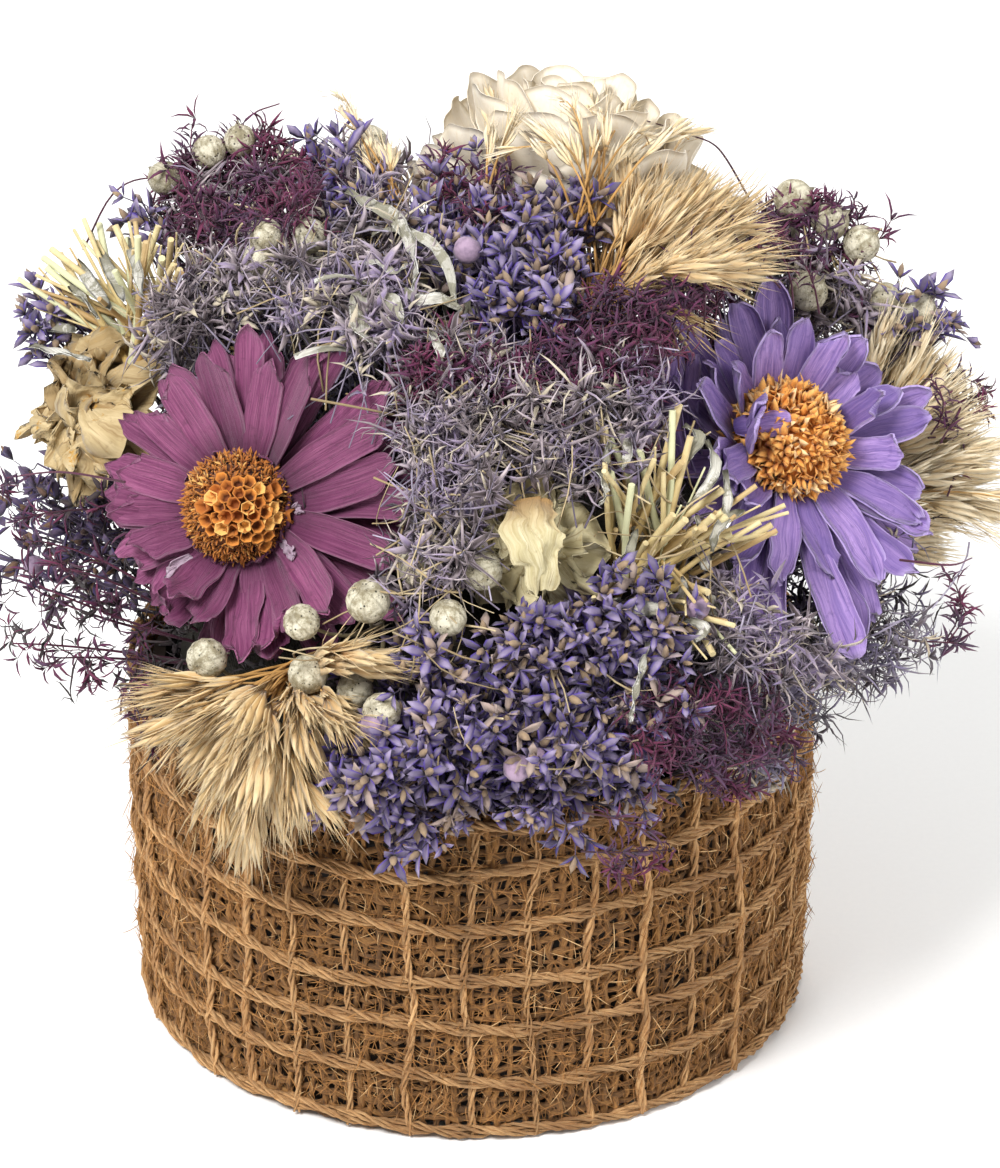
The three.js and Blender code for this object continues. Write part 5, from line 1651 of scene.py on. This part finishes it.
# The pale curls that the photograph shows, each by the pixels along it and its width in mm.
CURLS = [(((347, 190), (368, 203), (392, 215), (408, 238), (416, 268), (413, 295)), 3.2),
         (((372, 235), (400, 228), (430, 242), (448, 268), (455, 305)), 2.6),
         (((362, 285), (358, 305), (362, 330), (378, 346)), 4.0),
         (((378, 288), (392, 300), (396, 322), (388, 345)), 3.4),
         (((405, 290), (420, 300), (440, 298), (462, 310)), 2.4),
         (((430, 330), (440, 350), (438, 372)), 2.6),
         (((352, 268), (375, 262), (395, 272), (410, 262)), 2.0)]
STRAW_CURLS = [(((684, 425), (700, 436), (690, 452), (683, 462)), 2.6),
               (((706, 440), (716, 462), (708, 485), (688, 505)), 2.4),
               (((620, 430), (628, 450), (622, 470)), 2.2), (((610, 440), (606, 462), (612, 480)), 1.8),
               (((598, 470), (606, 490), (600, 505)), 2.2), (((636, 530), (630, 550), (615, 565)), 2.0),
               (((742, 510), (725, 520), (715, 535), (712, 552)), 2.2),
               (((690, 620), (705, 628), (695, 640)), 2.4),
               (((648, 642), (642, 668), (635, 695), (631, 722)), 1.8),
               (((725, 470), (728, 500), (722, 520)), 2.0)]
LEFT_CURLS = [(((20, 320), (45, 325), (75, 330)), 3.4), (((30, 345), (60, 352), (90, 360)), 3.0),
              (((78, 262), (92, 285), (110, 308)), 3.0), (((100, 250), (112, 275), (124, 300)), 2.6),
              (((128, 240), (136, 265), (142, 295)), 2.6), (((60, 275), (80, 295), (98, 318)), 2.4)]
for name in ("straw_middle", "straw_left", "straw_back"):
    growth, bunch, papers = Growth(), Bunch(name), Shells()
    grow_straw(bunch, growth, 26 if name in STRAW_FANS else 44)
    for root, tips in STRAW_FANS.get(name, ()):
        for across, down in tips:
            for _ in range(2):
                foot = on_dome(*root, -12 * MM) + anywhere(bunch.rng) * 5 * MM
                tip = on_dome(across, down, 4 * MM) + anywhere(bunch.rng) * 3 * MM
                gauge = bunch.rng.choice((0.2, 0.35, 0.5, 0.65, 0.7)) * MM
                growth.stem([foot, foot.lerp(tip, 0.5) + anywhere(bunch.rng) * MM, tip], gauge, gauge * 0.9)
    straws = growth.piece("straws", "hair", "straw", "straw", sides=7)
    sheaths(bunch, papers, 26, 12 * MM, 2.6 * MM)
    for pixels, width in {"straw_middle": STRAW_CURLS, "straw_left": LEFT_CURLS}.get(name, ()):
        laid_ribbon(papers, bunch.rng, pixels, width, 2.0)
    keep(join(name + "_dressed", straws, papers.piece("sheaths", "ribbon")), name)
curls, bunch = Shells(), Bunch("ribbons")
sheaths(bunch, curls, 8, 20 * MM, 2.4 * MM)
for pixels, width in CURLS:
    laid_ribbon(curls, bunch.rng, pixels, width)
keep(curls.piece("ribbons_dressed", "ribbon"), "ribbons")


# Ovals of the photograph over which each kind lies on top: middle and half sizes in pixels, then how many.
OVER_FLORETS = {
    "crown": (500, 215, 80, 85, 46), "crown_low": (530, 290, 60, 40, 20),
    "under_pods": (600, 610, 95, 38, 26),
    "front": (540, 690, 150, 72, 44), "front_left": (385, 768, 55, 34, 16), "top_left": (335, 165, 35, 35, 9),
    "ivory_front": (575, 205, 16, 35, 9), "far_left": (40, 310, 35, 35, 10),
    "far_right": (935, 300, 35, 30, 9),
    "top_pods": (140, 210, 25, 15, 3),
}
OVER_SPRAYS = {
    "left": (285, 320, 125, 60, 84), "between": (460, 400, 60, 60, 30), "middle": (520, 440, 120, 60, 46),
    "by_tan": (192, 325, 34, 32, 20),
    "by_pods": (455, 525, 48, 65, 32), "under_daisy": (770, 640, 60, 40, 24),
    "right_low": (895, 580, 55, 40, 14),
    "by_straw": (622, 395, 36, 38, 18), "crown": (380, 250, 50, 60, 20),
}
# where more lie deeper down, in the gaps beside the daisies
DEEP_SPRAYS = ((735, 575, 45, 40, 22), (700, 520, 30, 40, 12), (400, 560, 40, 50, 14), (190, 340, 40, 40, 16),
                (240, 200, 85, 50, 34), (350, 190, 50, 40, 16), (195, 650, 55, 16, 14),
                (300, 640, 50, 20, 12),
                (740, 265, 50, 25, 14), (850, 265, 55, 45, 22), (815, 315, 45, 18, 16),
                (703, 290, 34, 22, 16),
                (265, 650, 60, 12, 12))
OVER_MOSS = {
    "top_left": (240, 190, 80, 50, 62), "left": (60, 490, 60, 60, 6), "low_left": (105, 585, 45, 50, 7),
    "middle": (625, 335, 55, 45, 34), "right": (765, 255, 50, 35, 26), "hanging": (715, 735, 80, 55, 34),
    "sprig": (632, 850, 14, 25, 4), "far_right": (952, 425, 18, 60, 14), "low_right": (945, 600, 30, 45, 8),
    "low_middle": (550, 375, 70, 35, 34), "left_low": (150, 700, 20, 40, 5),
    "between": (440, 375, 40, 28, 18),
    "crown": (470, 175, 40, 50, 14), "right_top": (815, 235, 60, 45, 24),
    "behind_violet": (708, 285, 36, 24, 26), "under_right_pods": (812, 308, 36, 16, 14),
    "under_magenta": (235, 655, 60, 12, 8), "by_left_pod": (172, 640, 22, 22, 10),
}
OVER_STALKS = {
    "left": (300, 300, 170, 100, 40), "middle": (500, 440, 150, 90, 44), "pods": (400, 590, 90, 80, 40),
    "right": (820, 260, 90, 60, 20), "straw": (680, 520, 90, 80, 30), "florets": (540, 720, 150, 70, 16),
    "under_magenta": (265, 652, 60, 14, 18),
}
# Long thin curls that stand off the outline.
OVER_CURLS = [((83, 250), (110, 190), (150, 178), (200, 190), (240, 210)),
              ((750, 200), (727, 160), (722, 120), (705, 98), (680, 84), (650, 78)),
              ((270, 150), (262, 120), (250, 95), (275, 88)), ((160, 160), (150, 120)),
              ((125, 482), (60, 472), (5, 478)), ((900, 560), (950, 565), (972, 558))]
# Loose seed heads, by the pixels that show them.
OVER_PODS = [(448, 618), (208, 658), (382, 712), (483, 570), (803, 180), (838, 208), (862, 242), (885, 300),
             (915, 312), (155, 160), (203, 138), (240, 140), (259, 262), (266, 236), (310, 236)]
rng = random.Random(77)
growth = Growth()
for *spot, count in OVER_FLORETS.values():
    over_florets(growth, rng, spot, count)
keep(growth.piece("florets_over", "floret", "stem_dark", "floret"))
growth = Growth()
for *spot, count in OVER_SPRAYS.values():
    over_sprays(growth, rng, spot, count)
    over_straws(growth, rng, spot, count * 3 // 4, (10, 26), (0.1, 0.22), 2.6)
for *spot, count in DEEP_SPRAYS:
    over_sprays(growth, rng, spot, count, length=(9, 18), deep=9.0)
keep(growth.piece("sprays_over", "spray", "stem_lilac", "spray"))
growth = Growth()
for *spot, count in OVER_MOSS.values():
    over_sprays(growth, rng, spot, count, each=8, lie=0.7, size=(0.6, 1.0))
for pixels in OVER_CURLS:
    growth.stem(smoothed(on_domes(pixels, 2)), 0.25 * MM, 0.13 * MM)
keep(growth.piece("moss_over", "moss", "stem_wine", "moss"))
growth = Growth()
for tip in on_domes(OVER_PODS, -1):
    out = (tip - CENTRE).normalized()
    aim = (out + anywhere(rng) * 0.6).normalized()
    growth.stem(arc(tip - out * 16 * MM, tip, anywhere(rng) * 2 * MM, 4), 0.4 * MM, 0.3 * MM)
    growth.head(tip - aim * 3 * MM, aim, rng.uniform(0.85, 1.05), 0)
    growth.head(tip - aim * 3 * MM, aim, 1.0, 1)
keep(growth.piece("seed_heads_over", "pod", "stem_green", "pod"))
growth = Growth()
for *spot, count in OVER_STALKS.values():
    over_straws(growth, rng, spot, count, (8, 22), (0.1, 0.24), 1.8)
keep(growth.piece("stalks_over", "hair", "stem_pale", "stem_pale"))


def make_litter_painted_shade():
    """Dry bits that fill the gaps between the bunches, low over the foam all round, near-black as painted
    shade.
    """
    rng, growth = random.Random(8), Growth()
    for _ in range(3800):
        way = anywhere(rng)
        lift = math.degrees(math.asin(way.z))
        if lift < 8:
            continue
        room = max(dome_reach(way) - foam_at(lift) - 10 * MM, 6 * MM)
        point = outside_rim(CENTRE + way * (foam_at(lift) + rng.uniform(0.05, 1) * room))
        if point.z < 66.5 * MM or not free(point, 1):
            continue
        aim = (way * rng.uniform(0, 0.8) + anywhere(rng)).normalized()
        growth.head(point, aim, rng.uniform(0.8, 1.3), rng.randrange(3))
    for k in range(420):
        # near-black bits between the foam and the pot's wall: painted shade under the flowers
        turn, away = GOLDEN * k, rng.uniform(47, 55) * MM
        point = Vector((away * math.cos(turn), away * math.sin(turn), rng.uniform(59, 65) * MM))
        aim = (anywhere(rng) + Vector((0, 0, 0.6))).normalized()
        growth.head(point, aim, rng.uniform(0.8, 1.3), rng.randrange(3))
    return growth.piece("dark_litter", "spray", "shade_litter", "shade_litter")


keep(make_litter_painted_shade())

for group in HEADS.values():
    for mould in list(group.objects):
        bpy.data.objects.remove(mould)
    bpy.data.collections.remove(group)


def finish_holder():
    """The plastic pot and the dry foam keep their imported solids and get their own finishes."""
    plastic, tree, place, _ = new_finish("matt_brown_moulded_plastic", Roughness=0.6)
    cloud = add(tree, NOISE, {"Vector": place, "Scale": 60.0, "Detail": 3.0})
    surfaced(tree, coated(tree, "1c130c", ("2c2016", cloud, 0, 1, 1)))
    # the foam's near-black colour is painted shade for the gaps between the bunches
    foam, tree, place, _ = new_finish("floral_foam_painted_shade", Roughness=0.95)
    # cells about 0.5 mm across, coarse enough to show
    cells = add(tree, CELLS, {"Vector": place, "Scale": 1900.0})
    surfaced(tree, coated(tree, "15120c", ("2a2519", cells, 0, 1, 1)), cells, 0.6, 0.0005)
    for node, material in (("pot", plastic), ("foam", foam)):
        frame["nodes"][node].data.materials.clear()
        frame["nodes"][node].data.materials.append(material)

finish_holder()
